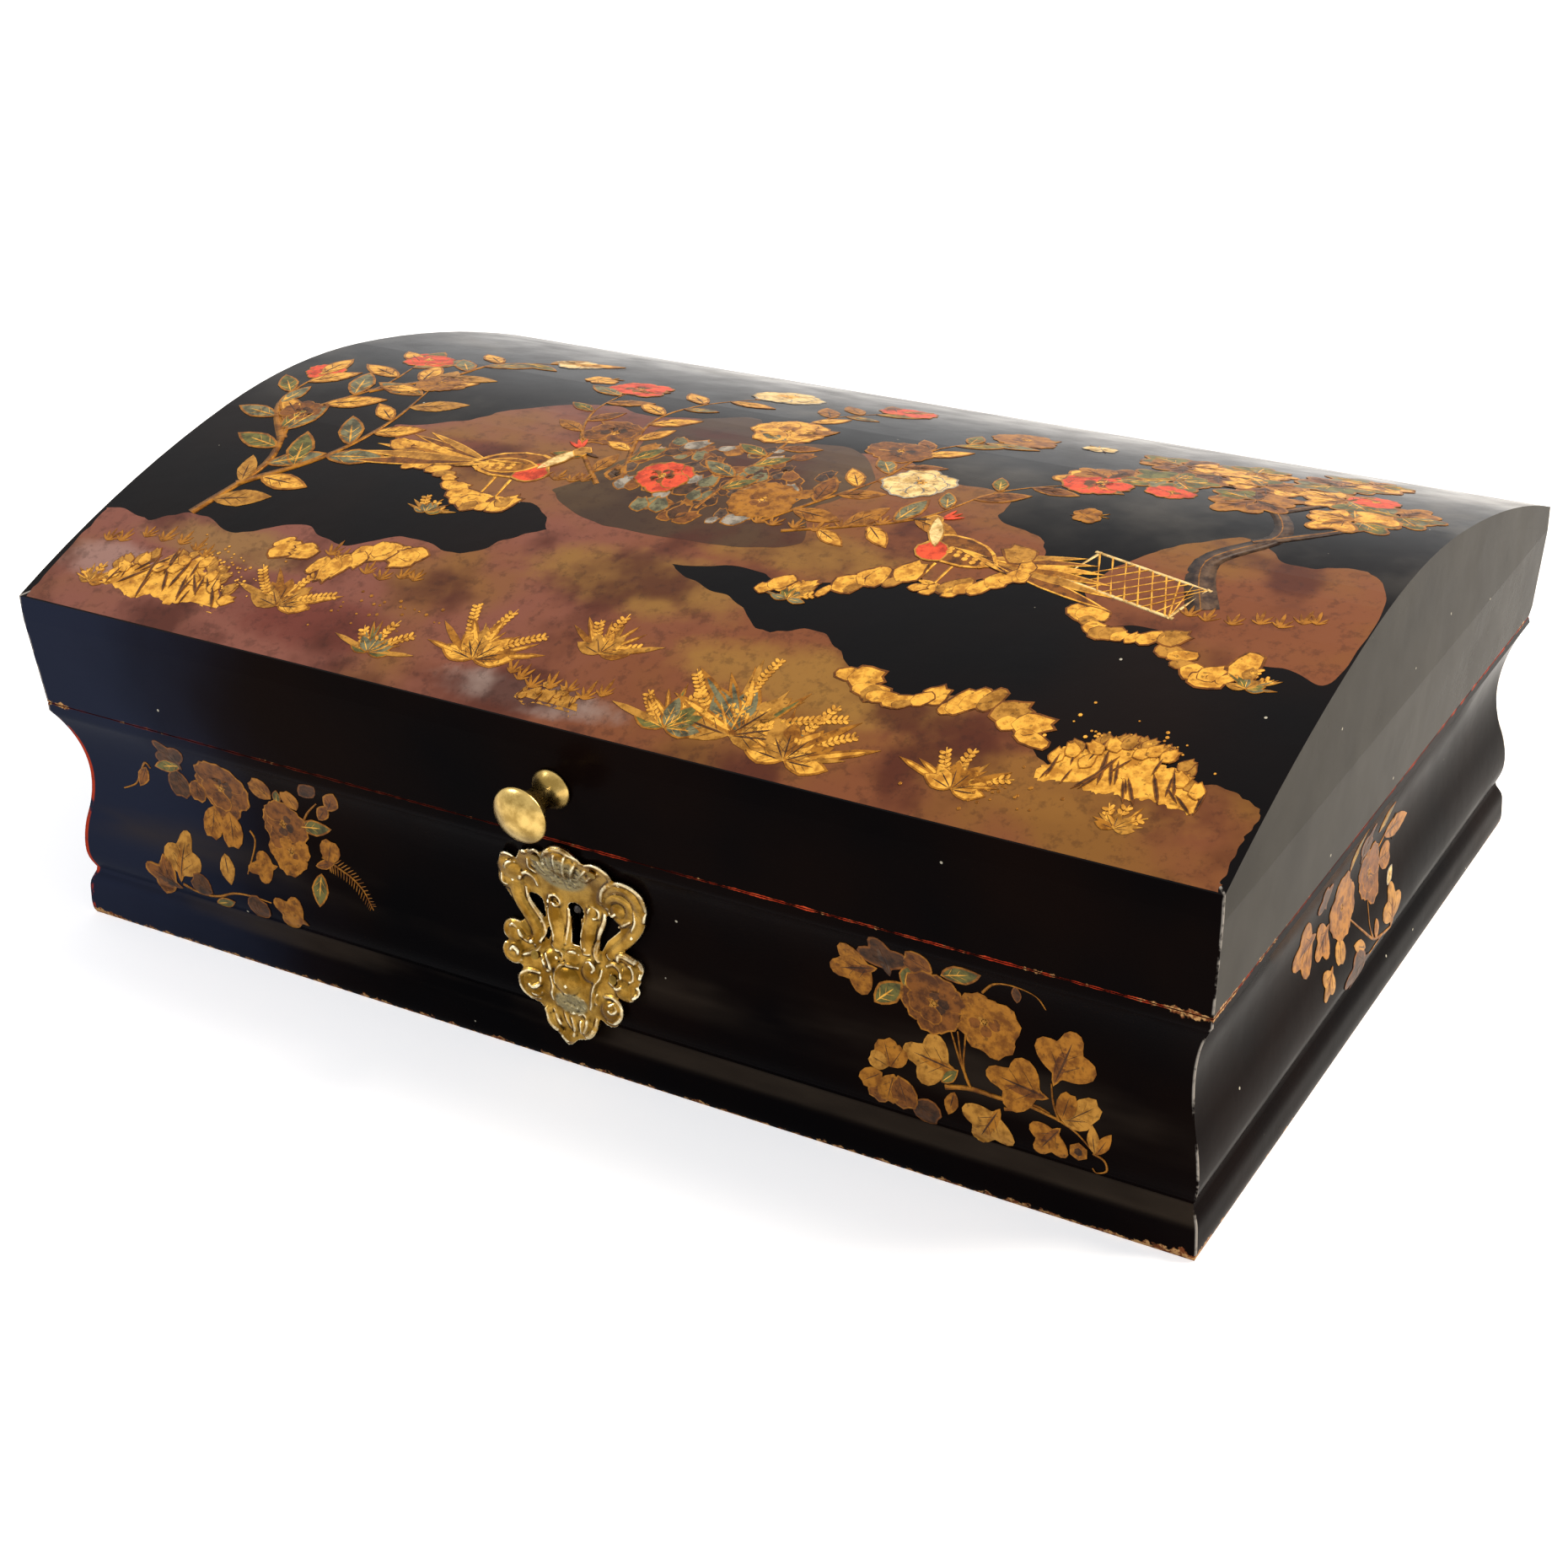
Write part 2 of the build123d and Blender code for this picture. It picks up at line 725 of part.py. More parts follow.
with BuildPart() as lock_plate:
    with BuildSketch(front_plane):
        with Locations((0, base_height - lock_height / 2)):
            Rectangle(lock_width, lock_height)
    extrude(amount=lock_plate_thickness)
    with Locations((0, (inner_face_y + cap_front_y) / 2, base_height - lock_plate_thickness / 2)):
        Box(lock_width, inner_face_y - cap_front_y, lock_plate_thickness)
    with Locations((hasp_center, bolt_y, base_height - lock_plate_thickness / 2)):
        Box(
            hasp_thickness + 2 * hasp_side_clearance,
            hasp_width + 2 * hasp_swing_clearance,
            lock_plate_thickness,
            mode=Mode.SUBTRACT,
        )
    add(fitting_nails(lock_nail_points, backward, hole=True), mode=Mode.SUBTRACT)
    add(stud_rivets.part, mode=Mode.SUBTRACT)

with BuildPart() as lock_case:
    with BuildSketch(front_plane.offset(lock_plate_thickness)):
        with Locations((0, (case_bottom + selvedge_under) / 2)):
            Rectangle(case_width, selvedge_under - case_bottom)
    extrude(amount=case_inner_depth + cap_thickness)
    with BuildSketch(front_plane.offset(lock_plate_thickness)):
        with Locations((0, (case_bottom + cap_thickness + selvedge_under) / 2)):
            Rectangle(case_width - 2 * cap_thickness, selvedge_under - case_bottom - cap_thickness)
    extrude(amount=case_inner_depth, mode=Mode.SUBTRACT)
    with BuildSketch(front_plane):
        keyhole_shape()
    extrude(amount=wall_stock, mode=Mode.SUBTRACT)

with BuildPart() as lock_key_pin:
    with BuildSketch(front_plane):
        with Locations((0, keyhole_height)):
            Circle(key_pin_radius)
    extrude(amount=wall_stock - waist_setback + key_pin_proud)
    tip = lock_key_pin.faces().sort_by(Axis.Y)[0]
    chamfer(tip.edges(), length=key_pin_tip)

collar_length = (case_inner_depth - bolt_thickness) / 2 - running_gap
stud_reach = lock_plate_thickness + collar_length + bolt_thickness + 2 * running_gap

with BuildPart() as bolt_studs:
    with BuildSketch(front_plane):
        with Locations(*stud_points):
            Rectangle(stud_width, stud_width)
    extrude(amount=stud_reach)
    with BuildSketch(front_plane.offset(lock_plate_thickness)):
        with Locations(*stud_points):
            Rectangle(stud_collar_width, stud_collar_width)
    extrude(amount=collar_length)
    with BuildSketch(front_plane.offset(stud_reach)):
        with Locations(*stud_points):
            Rectangle(stud_head_width, stud_head_width)
    extrude(amount=stud_head_thickness)

with BuildPart() as lock_bolt:
    with BuildSketch(Plane.XZ.offset(-bolt_y - bolt_thickness / 2)):
        with Locations((bolt_shoulder + bolt_length / 2, bolt_top - bolt_height / 2)):
            Rectangle(bolt_length, bolt_height)
        with Locations((bolt_shoulder - nose_length / 2, (nose_top + nose_bottom) / 2)):
            Rectangle(nose_length, nose_height)
        with Locations((bolt_travel / 2, bolt_top - bolt_height + talon_depth / 2)):
            Rectangle(talon_width, talon_depth, mode=Mode.SUBTRACT)
        with Locations((first_stud + (stud_spacing + bolt_travel) / 2, bolt_top - stud_below_top)):
            Rectangle(
                stud_spacing + bolt_travel + stud_width + 2 * running_gap,
                stud_width + 2 * running_gap,
                mode=Mode.SUBTRACT,
            )
    extrude(amount=bolt_thickness)

with BuildPart() as bolt_spring:
    with BuildSketch(Plane.XZ.offset(-bolt_y - bolt_thickness / 2)):
        with BuildLine():
            low = bolt_top + running_gap
            end_low = selvedge_under - spring_strip
            spring_middle = bolt_shoulder + spring_span / 2
            spring_end = bolt_shoulder + spring_span
            ThreePointArc((bolt_shoulder, end_low), (spring_middle, low), (spring_end, end_low))
            Line((spring_end, end_low), (spring_end, selvedge_under))
            ThreePointArc(
                (spring_end, selvedge_under),
                (spring_middle, low + spring_strip),
                (bolt_shoulder, selvedge_under),
            )
            Line((bolt_shoulder, selvedge_under), (bolt_shoulder, end_low))
        make_face()
    extrude(amount=bolt_thickness)

with BuildPart() as lock_nails:
    add(fitting_nails(lock_nail_points, backward, hole=False))

# Hasp

with BuildPart() as lid_hasp:
    with BuildSketch(Plane.YZ.offset(hasp_center - hasp_thickness / 2)):
        with Locations((bolt_y, (lid_foot + hasp_bottom) / 2)):
            Rectangle(hasp_width, lid_foot - hasp_bottom)
        with Locations((bolt_y, (eye_top + eye_bottom) / 2)):
            Rectangle(hasp_width - 2 * hasp_bar, eye_top - eye_bottom, mode=Mode.SUBTRACT)
    extrude(amount=hasp_thickness)
    with BuildSketch(Plane.XY.offset(lid_foot)):
        with Locations((hasp_center, bolt_y)):
            Rectangle(hasp_plate_length, hasp_plate_width)
    extrude(amount=hasp_plate_thickness)
    add(fitting_nails(hasp_nail_points, downward, hole=True), mode=Mode.SUBTRACT)

with BuildPart() as hasp_nails:
    add(fitting_nails(hasp_nail_points, downward, hole=False))

# Hinges


def knuckles(spans):
    """Barrel lengths of one leaf about the hinge axis, each span a pair of x positions."""
    for low, high in spans:
        with Locations(((low + high) / 2, axis_y, axis_z)):
            Cylinder(barrel_radius, high - low, rotation=(0, 90, 0))


def hinge_leaf(center, way):
    """One leaf with its knuckles: way -1 is the base leaf with two knuckles, 1 the lid leaf with one."""
    rim = base_height if way < 0 else lid_foot
    inner = middle_knuckle / 2
    outer = hinge_length / 2
    own = [(-outer, -inner), (inner, outer)] if way < 0 else [(-inner + knuckle_gap, inner - knuckle_gap)]
    other = [(-inner, inner)] if way < 0 else [(-outer, -inner + knuckle_gap), (inner - knuckle_gap, outer)]
    with BuildPart() as leaf:
        with Locations((center, axis_y - leaf_reach / 2, rim + way * leaf_thickness / 2)):
            Box(hinge_length, leaf_reach, leaf_thickness)
        for low, high in other:
            with Locations((center + (low + high) / 2, axis_y, axis_z)):
                Cylinder(
                    barrel_radius + barrel_clearance,
                    high - low,
                    rotation=(0, 90, 0),
                    mode=Mode.SUBTRACT,
                )
        knuckles([(center + low, center + high) for low, high in own])
        with Locations((center, axis_y, axis_z)):
            Cylinder(
                hinge_pin_radius + pin_clearance,
                hinge_length * 2,
                rotation=(0, 90, 0),
                mode=Mode.SUBTRACT,
            )
        out = upward if way < 0 else downward
        add(fitting_nails(hinge_nail_points(rim), out, hole=True), mode=Mode.SUBTRACT)
    return leaf.part


def hinge_pin(center):
    """Pin through all three knuckles of one hinge."""
    with BuildPart() as pin:
        with Locations((center, axis_y, axis_z)):
            Cylinder(hinge_pin_radius, hinge_length, rotation=(0, 90, 0))
    return pin.part


with BuildPart() as left_hinge_base_leaf:
    add(hinge_leaf(-hinge_offset, -1))

with BuildPart() as left_hinge_lid_leaf:
    add(hinge_leaf(-hinge_offset, 1))

with BuildPart() as left_hinge_pin:
    add(hinge_pin(-hinge_offset))

with BuildPart() as right_hinge_base_leaf:
    add(hinge_leaf(hinge_offset, -1))

with BuildPart() as right_hinge_lid_leaf:
    add(hinge_leaf(hinge_offset, 1))

with BuildPart() as right_hinge_pin:
    add(hinge_pin(hinge_offset))

with BuildPart() as hinge_nails_base:
    add(fitting_nails(hinge_nail_points(base_height), upward, hole=False))

with BuildPart() as hinge_nails_lid:
    add(fitting_nails(hinge_nail_points(lid_foot), downward, hole=False))

# Every finished piece is labelled and written under its own name

pieces = {
    "base_front_wall": base_front_wall,
    "base_back_wall": base_back_wall,
    "base_left_wall": base_left_wall,
    "base_right_wall": base_right_wall,
    "bottom_board": bottom_board,
    "bottom_nails": bottom_nails,
    "lid_front_rail": lid_front_rail,
    "lid_back_rail": lid_back_rail,
    "lid_left_end": lid_left_end,
    "lid_right_end": lid_right_end,
    "lid_dome_panel": lid_dome_panel,
    "lid_knob": lid_knob,
    "knob_nut": knob_nut,
    "escutcheon": escutcheon,
    "escutcheon_pins": escutcheon_pins,
    "lock_plate": lock_plate,
    "lock_case": lock_case,
    "lock_key_pin": lock_key_pin,
    "bolt_studs": bolt_studs,
    "lock_bolt": lock_bolt,
    "bolt_spring": bolt_spring,
    "lock_nails": lock_nails,
    "lid_hasp": lid_hasp,
    "hasp_nails": hasp_nails,
    "left_hinge_base_leaf": left_hinge_base_leaf,
    "left_hinge_lid_leaf": left_hinge_lid_leaf,
    "left_hinge_pin": left_hinge_pin,
    "right_hinge_base_leaf": right_hinge_base_leaf,
    "right_hinge_lid_leaf": right_hinge_lid_leaf,
    "right_hinge_pin": right_hinge_pin,
    "hinge_nails_base": hinge_nails_base,
    "hinge_nails_lid": hinge_nails_lid,
}

os.makedirs("parts", exist_ok=True)
for name, piece in pieces.items():
    piece.part.label = name
    export_step(piece.part, f"parts/{name}.step")
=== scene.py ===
"""A lacquered wig box with gilt sprays, a painted arched lid, a cast keyhole plate and a knob."""

import json
import logging
import math
import random
from collections.abc import Iterator, Sequence
from contextlib import contextmanager
from dataclasses import dataclass, field
from enum import Enum

import bmesh
import bpy
from mathutils import Matrix, Vector
from mathutils.bvhtree import BVHTree


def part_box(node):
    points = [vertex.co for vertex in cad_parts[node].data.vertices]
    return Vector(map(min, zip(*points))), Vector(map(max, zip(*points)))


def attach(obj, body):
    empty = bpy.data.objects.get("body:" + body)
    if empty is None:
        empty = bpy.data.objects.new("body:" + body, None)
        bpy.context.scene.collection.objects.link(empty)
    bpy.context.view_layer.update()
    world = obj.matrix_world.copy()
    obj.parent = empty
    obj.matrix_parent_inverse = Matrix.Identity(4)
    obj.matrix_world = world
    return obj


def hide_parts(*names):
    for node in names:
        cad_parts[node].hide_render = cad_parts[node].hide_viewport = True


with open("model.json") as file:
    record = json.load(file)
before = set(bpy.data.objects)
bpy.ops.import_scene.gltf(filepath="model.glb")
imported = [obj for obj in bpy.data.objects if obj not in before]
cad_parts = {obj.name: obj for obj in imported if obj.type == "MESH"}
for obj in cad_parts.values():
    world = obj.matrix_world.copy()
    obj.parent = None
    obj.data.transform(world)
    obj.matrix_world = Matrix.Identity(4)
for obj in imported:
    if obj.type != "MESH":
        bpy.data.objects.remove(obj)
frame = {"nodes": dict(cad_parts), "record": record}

log = logging.getLogger("wig_box")
MM = 0.001
SEAM = 65.15
HALF_LENGTH = 165.0
HALF_DEPTH = 113.5
LID_FOOT = 65.3
Point = tuple[float, float]
Point3 = tuple[float, float, float]
Socket = bpy.types.NodeSocket


# Shader nodes and colours


def linear(code: str) -> tuple[float, float, float, float]:
    """Turns an sRGB hex value into Blender's linear colour.

    Args:
        code: Six hex digits, with or without a leading #.

    Returns:
        Red, green, blue and alpha, linear.
    """
    digits = code.lstrip("#")
    parts = [int(digits[i : i + 2], 16) / 255 for i in (0, 2, 4)]
    red, green, blue = [c / 12.92 if c <= 0.04045 else ((c + 0.055) / 1.055) ** 2.4 for c in parts]
    return (red, green, blue, 1.0)


def fill(node: bpy.types.Node, links: dict) -> None:
    """Sets a node's inputs, each to a socket, a number or a hex colour.

    Args:
        node: The node.
        links: Input name or number to its value.
    """
    for key, value in links.items():
        if isinstance(value, Socket):
            node.id_data.links.new(value, node.inputs[key])
        else:
            node.inputs[key].default_value = linear(value) if isinstance(value, str) else value


def add_node(tree: bpy.types.NodeTree, kind: str, links: dict | None = None, **settings: object) -> bpy.types.Node:
    """Adds one node with its settings, values and links.

    Args:
        tree: The node tree that it goes into.
        kind: The node's type.
        links: Input name or number to a socket, a number or a hex colour.
        **settings: The node's own properties.

    Returns:
        The new node.
    """
    new = tree.nodes.new(kind)
    for name, value in settings.items():
        setattr(new, name, value)
    fill(new, links or {})
    return new


def seen_directly(tree: bpy.types.NodeTree) -> Socket:
    """1 for what the camera, a polished surface or a clear one sees directly, and 0 for what only lights.

    Args:
        tree: The node tree that it goes into.

    Returns:
        The number.
    """
    rays = add_node(tree, "ShaderNodeLightPath")
    seen = rays.outputs["Is Camera Ray"]
    for kind in ("Is Glossy Ray", "Is Transmission Ray"):
        seen = add_node(tree, "ShaderNodeMath", {0: seen, 1: rays.outputs[kind]}, operation="MAXIMUM").outputs[0]
    return seen


@dataclass
class Recipe:
    """One material being written: its tree, its shader and the object coordinates in millimetres."""

    name: str
    tree: bpy.types.NodeTree = field(init=False)
    material: bpy.types.Material = field(init=False)
    shader: bpy.types.Node = field(init=False)
    place: Socket = field(init=False)
    x: Socket = field(init=False)
    y: Socket = field(init=False)
    z: Socket = field(init=False)
    facing_x: Socket = field(init=False)
    facing_z: Socket = field(init=False)

    def __post_init__(self) -> None:
        """Makes the material with its shader and its coordinates."""
        self.material = bpy.data.materials.new(self.name)
        self.material.use_nodes = True
        self.tree = self.material.node_tree
        self.tree.nodes.clear()
        self.shader = self.node("ShaderNodeBsdfPrincipled")
        self.node("ShaderNodeOutputMaterial", {"Surface": self.shader.outputs[0]})
        coordinates = self.node("ShaderNodeTexCoord")
        inputs = {0: coordinates.outputs["Object"], "Scale": 1 / MM}
        self.place = self.node("ShaderNodeVectorMath", inputs, operation="SCALE").outputs[0]
        self.x, self.y, self.z = self.node("ShaderNodeSeparateXYZ", {0: self.place}).outputs
        facing = self.node("ShaderNodeSeparateXYZ", {0: coordinates.outputs["Normal"]})
        self.facing_x, _, self.facing_z = facing.outputs

    def node(self, kind: str, links: dict | None = None, **settings: object) -> bpy.types.Node:
        """Adds one node to this material."""
        return add_node(self.tree, kind, links, **settings)

    def calc(self, operation: str, *values: Socket | float, clamp: bool = False) -> Socket:
        """Works out one number from others."""
        return self.node("ShaderNodeMath", dict(enumerate(values)), operation=operation, use_clamp=clamp).outputs[0]

    def times(self, value: Socket, *others: Socket | float) -> Socket:
        """Multiplies a number by others.

        Args:
            value: The first number.
            *others: What it is multiplied by.

        Returns:
            The product.
        """
        for other in others:
            value = self.calc("MULTIPLY", value, other)
        return value

    def ramp(self, value: Socket, slope: float, start: Socket | float, clamp: bool = False) -> Socket:
        """Multiplies a number by a slope and adds a start."""
        return self.calc("MULTIPLY_ADD", value, slope, start, clamp=clamp)

    def size(self, value: Socket) -> Socket:
        """The size of a number without its sign."""
        return self.calc("ABSOLUTE", value)

    def off(self, first: Socket | float, second: Socket | float) -> Socket:
        """How far the first number lies above the second."""
        return self.calc("SUBTRACT", first, second)

    def oval(self, second: Socket, centre: Point, reach: Point) -> Socket:
        """How far out in an oval a place lies: 0 at its centre and 1 on its edge.

        Args:
            second: The coordinate that goes with x.
            centre: Its centre in millimetres.
            reach: Its half width and half height.

        Returns:
            The square of the distance.
        """
        parts = [
            self.calc("DIVIDE", self.off(value, middle), half)
            for value, middle, half in zip((self.x, second), centre, reach)
        ]
        return self.calc("ADD", *(self.times(part, part) for part in parts))

    def noise(self, grain: float, detail: float = 2.0, rough: float = 0.5, stretch: Point3 | None = None) -> Socket:
        """Noise between 0 and 1 whose lumps are about grain millimetres across.

        Args:
            grain: Size of the lumps in millimetres.
            detail: Number of finer layers.
            rough: How strong the finer layers are.
            stretch: Scale along each axis, for streaks.

        Returns:
            The noise value.
        """
        where = self.place
        if stretch:
            where = self.node("ShaderNodeVectorMath", {0: where, 1: stretch}, operation="MULTIPLY").outputs[0]
        inputs = {"Vector": where, "Scale": 1 / grain, "Detail": detail, "Roughness": rough}
        return self.node("ShaderNodeTexNoise", inputs).outputs[0]

    def step(self, value: Socket | float, low: float, high: float) -> Socket:
        """Rises smoothly from 0 at low to 1 at high, or falls where low is above high.

        Args:
            value: The number.
            low: Where the result is 0.
            high: Where the result is 1.

        Returns:
            The result.
        """
        (low, first), (high, last) = sorted(((low, 0.0), (high, 1.0)))
        inputs = dict(enumerate((value, low, high, first, last)))
        return self.node("ShaderNodeMapRange", inputs, interpolation_type="SMOOTHSTEP").outputs[0]

    def patches(self, low: float, high: float, *grain: object) -> Socket:
        """Patches of 1 among 0 with soft edges between low and high; grain is what noise takes."""
        return self.step(self.noise(*grain), low, high)

    def mix(self, share: Socket | float, first: Socket | str, second: Socket | str) -> Socket:
        """Mixes two colours by share."""
        return self.node("ShaderNodeMix", {"Factor": share, 6: first, 7: second}, data_type="RGBA").outputs[2]

    def bump(self, height: Socket, depth: float) -> None:
        """Gives the surface a relief of depth millimetres."""
        made = self.node("ShaderNodeBump", {"Height": height, "Strength": 1.0, "Distance": depth * MM})
        self.tree.links.new(made.outputs[0], self.shader.inputs["Normal"])

    def surface(self, colour: Socket | str, rough: Socket | float, **values: float) -> bpy.types.Material:
        """Sets the shader's colour, roughness and plain values.

        Args:
            colour: A colour socket or a hex colour.
            rough: Roughness.
            **values: Further inputs, their names with underscores, such as Metallic or Specular_IOR_Level.

        Returns:
            The finished material.
        """
        fill(self.shader, {"Base Color": colour, "Roughness": rough})
        fill(self.shader, {name.replace("_", " "): value for name, value in values.items()})
        return self.material


# Finishes


@dataclass(frozen=True)
class JapannedBlack:
    """Black japan over wood: near black and glossy, brownish where it is thin, chipped at its edges.

    Painted light: a sheen in the dusty clouds on top, a bluish reflection to the left, a grey sheen on the lid's ends.
    """

    name: str
    deep: str = "#050405"
    thin: str = "#0f0705"
    # Painted reflection: the bluish side lamp seen in the upright faces towards the left end
    bluish_reflection: str = "#232838"
    # Painted sheen: dull grey on the lid's ends
    end_sheen: str = "#38352f"
    # Dust on the upward-facing mouldings, which also stands for a painted sheen there
    dust: str = "#3a3128"
    # Dusty clouds on the lid's top, also a painted sheen there
    haze_and_sheen: str = "#5b564f"
    speck: str = "#a39d8c"
    ground: str = "#a5301a"
    bright_ground: str = "#d4552f"
    # Worn pale grey on the upright corners, also a painted highlight along those edges
    rubbed_and_highlit: str = "#8f887f"
    rubbed_red: str = "#a23620"
    wood: str = "#b58a58"
    dark_wood: str = "#6b3a20"
    lining: str = "#5e1b12"
    deep_lining: str = "#4b160f"
    rim: str = "#47150e"
    dark_rim: str = "#1f0d09"
    inner_x: float = 150.2
    inner_y: float = 98.7
    gloss: float = 0.008
    top_gloss: float = 0.008
    painted: bool = False

    def skin(self, make: Recipe) -> Socket:
        """The unworn black with brown clouds and dust, and a painted bluish reflection and sheen on the lid's ends and
        ledges.

        Args:
            make: The material being written.

        Returns:
            The colour.
        """
        body = make.mix(make.patches(0.35, 0.7, 70, 3), self.deep, self.thin)
        # Painted reflection: a bluish tint on upright faces towards the left end, where the side lamp would show
        left = make.step(make.ramp(make.noise(60, 3), 90.0, make.x), -20.0, -110.0)
        left = make.times(left, make.step(make.facing_z, 0.6, 0.4))
        body = make.mix(make.times(left, 0.8), body, self.bluish_reflection)
        # Painted sheen: grey on the lid's ends, where they would reflect the room's light
        ends = make.step(make.size(make.facing_x), 0.8, 0.95)
        ends = make.times(ends, make.step(make.z, SEAM - 0.1, SEAM + 0.2))
        end_sheen = make.ramp(make.noise(24, 4), 0.7, 0.45, clamp=True)
        body = make.mix(make.times(ends, end_sheen), body, self.end_sheen)
        # Dust and painted sheen: paler streaks where the mouldings of the base face upwards
        ledge_dust_and_sheen = make.times(make.step(make.facing_z, 0.06, 0.3), make.step(make.z, 62.0, 58.0))
        ledge_dust_and_sheen = make.times(ledge_dust_and_sheen, make.step(make.facing_x, 0.5, 0.3))
        streaks = make.patches(0.42, 0.66, 34, 4, 0.6, (0.25, 0.25, 1.0))
        return make.mix(make.times(ledge_dust_and_sheen, streaks, 0.6), body, self.dust)

    def reddened(self, make: Recipe, body: Socket) -> Socket:
        """Adds the red seam line of the ground, and corners worn red low on the left, pale grey elsewhere with a
        painted highlight.

        Args:
            make: The material being written.
            body: The colour so far.

        Returns:
            The colour with them.
        """
        patch = make.noise(30, 3)
        thick = make.times(make.noise(4.5, 3, 0.7), 1.15)
        near_seam = make.step(make.off(make.size(make.off(make.z, SEAM)), thick), -0.22, -0.42)
        right = make.step(make.ramp(patch, 60.0, make.x), 0.0, 70.0)
        red = make.times(near_seam, make.ramp(right, 0.88, 0.12), make.step(patch, 0.34, 0.46))
        body = make.mix(red, body, make.mix(make.patches(0.4, 0.7, 2.6, 3, 0.6), self.ground, self.bright_ground))
        off_x, off_y = self.off_ends(make)
        # Upright corner edges: worn red low on the left; pale grey elsewhere, which is wear and a painted highlight
        low_left = make.times(make.step(make.x, 20.0, -20.0), make.step(make.z, 62.0, 56.0))
        across = make.size(make.off(off_x, off_y))
        rub_and_highlight = make.step(make.off(across, make.times(low_left, 0.7)), 0.6, 0.2)
        outside = make.step(make.calc("MAXIMUM", off_x, off_y), 8.5, 7.5)
        rub_and_highlight = make.times(rub_and_highlight, outside, make.patches(0.42, 0.54, 9, 4, 0.7))
        return make.mix(rub_and_highlight, body, make.mix(low_left, self.rubbed_and_highlit, self.rubbed_red))

    def off_ends(self, make: Recipe) -> tuple[Socket, Socket]:
        """How far a place lies inside the outline at the ends, and at the front and back."""
        return make.off(HALF_LENGTH, make.size(make.x)), make.off(HALF_DEPTH, make.size(make.y))

    def chipped(self, make: Recipe, body: Socket) -> Socket:
        """Adds the chips down to the wood along the seam and the foot, most of all near the right front corner.

        Args:
            make: The material being written.
            body: The colour so far.

        Returns:
            The colour with them.
        """
        near_corner = make.times(make.step(make.calc("MAXIMUM", *self.off_ends(make)), 18.0, 4.0), 0.2)
        reach = make.calc("ADD", make.off(HALF_LENGTH, make.x), make.calc("ADD", make.y, HALF_DEPTH))
        worst = make.ramp(make.step(reach, 85.0, 10.0), 0.12, near_corner)
        worst = make.calc("ADD", make.noise(2.6, 3, 0.6), worst)
        foot = make.step(make.off(make.z, make.times(worst, 5.4)), -2.0, -2.5)
        edge = make.step(make.off(make.size(make.off(make.z, SEAM)), make.times(worst, 3.8)), -2.1, -2.5)
        bare = make.calc("MAXIMUM", foot, edge)
        return make.mix(bare, body, make.mix(make.patches(0.4, 0.6, 1.1), self.wood, self.dark_wood))

    def lined(self, make: Recipe, body: Socket) -> Socket:
        """Turns the faces inside the box, and where lid and base meet, to the dull red lining.

        Args:
            make: The material being written.
            body: The colour so far.

        Returns:
            The colour with the lining.
        """
        in_x = make.step(make.size(make.x), self.inner_x, self.inner_x - 0.1)
        in_y = make.step(make.size(make.y), self.inner_y, self.inner_y - 0.1)
        inside = make.times(in_x, in_y, make.step(make.facing_z, 0.1, 0.0))
        lining = make.mix(make.patches(0.35, 0.7, 24, 4), self.lining, self.deep_lining)
        flat = make.step(make.size(make.facing_z), 0.8, 0.95)
        rim = make.times(flat, make.step(make.size(make.off(make.z, SEAM)), 0.9, 0.6))
        body = make.mix(rim, body, make.mix(make.patches(0.42, 0.68, 30, 4), self.rim, self.dark_rim))
        return make.mix(inside, body, lining)

    def hazed_and_sheened(self, make: Recipe, body: Socket) -> Socket:
        """Adds pale dusty clouds towards the back of the lid's top, partly dust and partly a painted sheen.

        Args:
            make: The material being written.
            body: The colour so far.

        Returns:
            The colour with them.
        """
        # Dust and painted sheen: pale clouds on upward faces, stronger towards the back of the lid
        haze_and_sheen = make.times(make.patches(0.48, 0.72, 48, 4, 0.6), make.step(make.y, -50.0, 60.0))
        haze_and_sheen = make.times(haze_and_sheen, make.step(make.facing_z, 0.4, 0.6), 0.6)
        return make.mix(haze_and_sheen, body, self.haze_and_sheen)

    def build(self) -> bpy.types.Material:
        """Writes the material.

        Returns:
            The finished material.
        """
        make = Recipe(self.name)
        body = self.skin(make)
        if self.painted:
            body = self.hazed_and_sheened(make, body)
        body = self.lined(make, self.chipped(make, self.reddened(make, body)))
        speck = make.node("ShaderNodeTexVoronoi", {"Vector": make.place, "Scale": 1 / 13.0}).outputs["Distance"]
        body = make.mix(make.step(speck, 0.034, 0.022), body, self.speck)
        make.bump(make.noise(6, 3), 0.05)
        gloss = make.ramp(make.step(make.facing_z, 0.4, 0.6), self.top_gloss - self.gloss, self.gloss)
        return make.surface(body, make.ramp(make.noise(14, 4), 0.24, 0.1), Specular_IOR_Level=gloss)


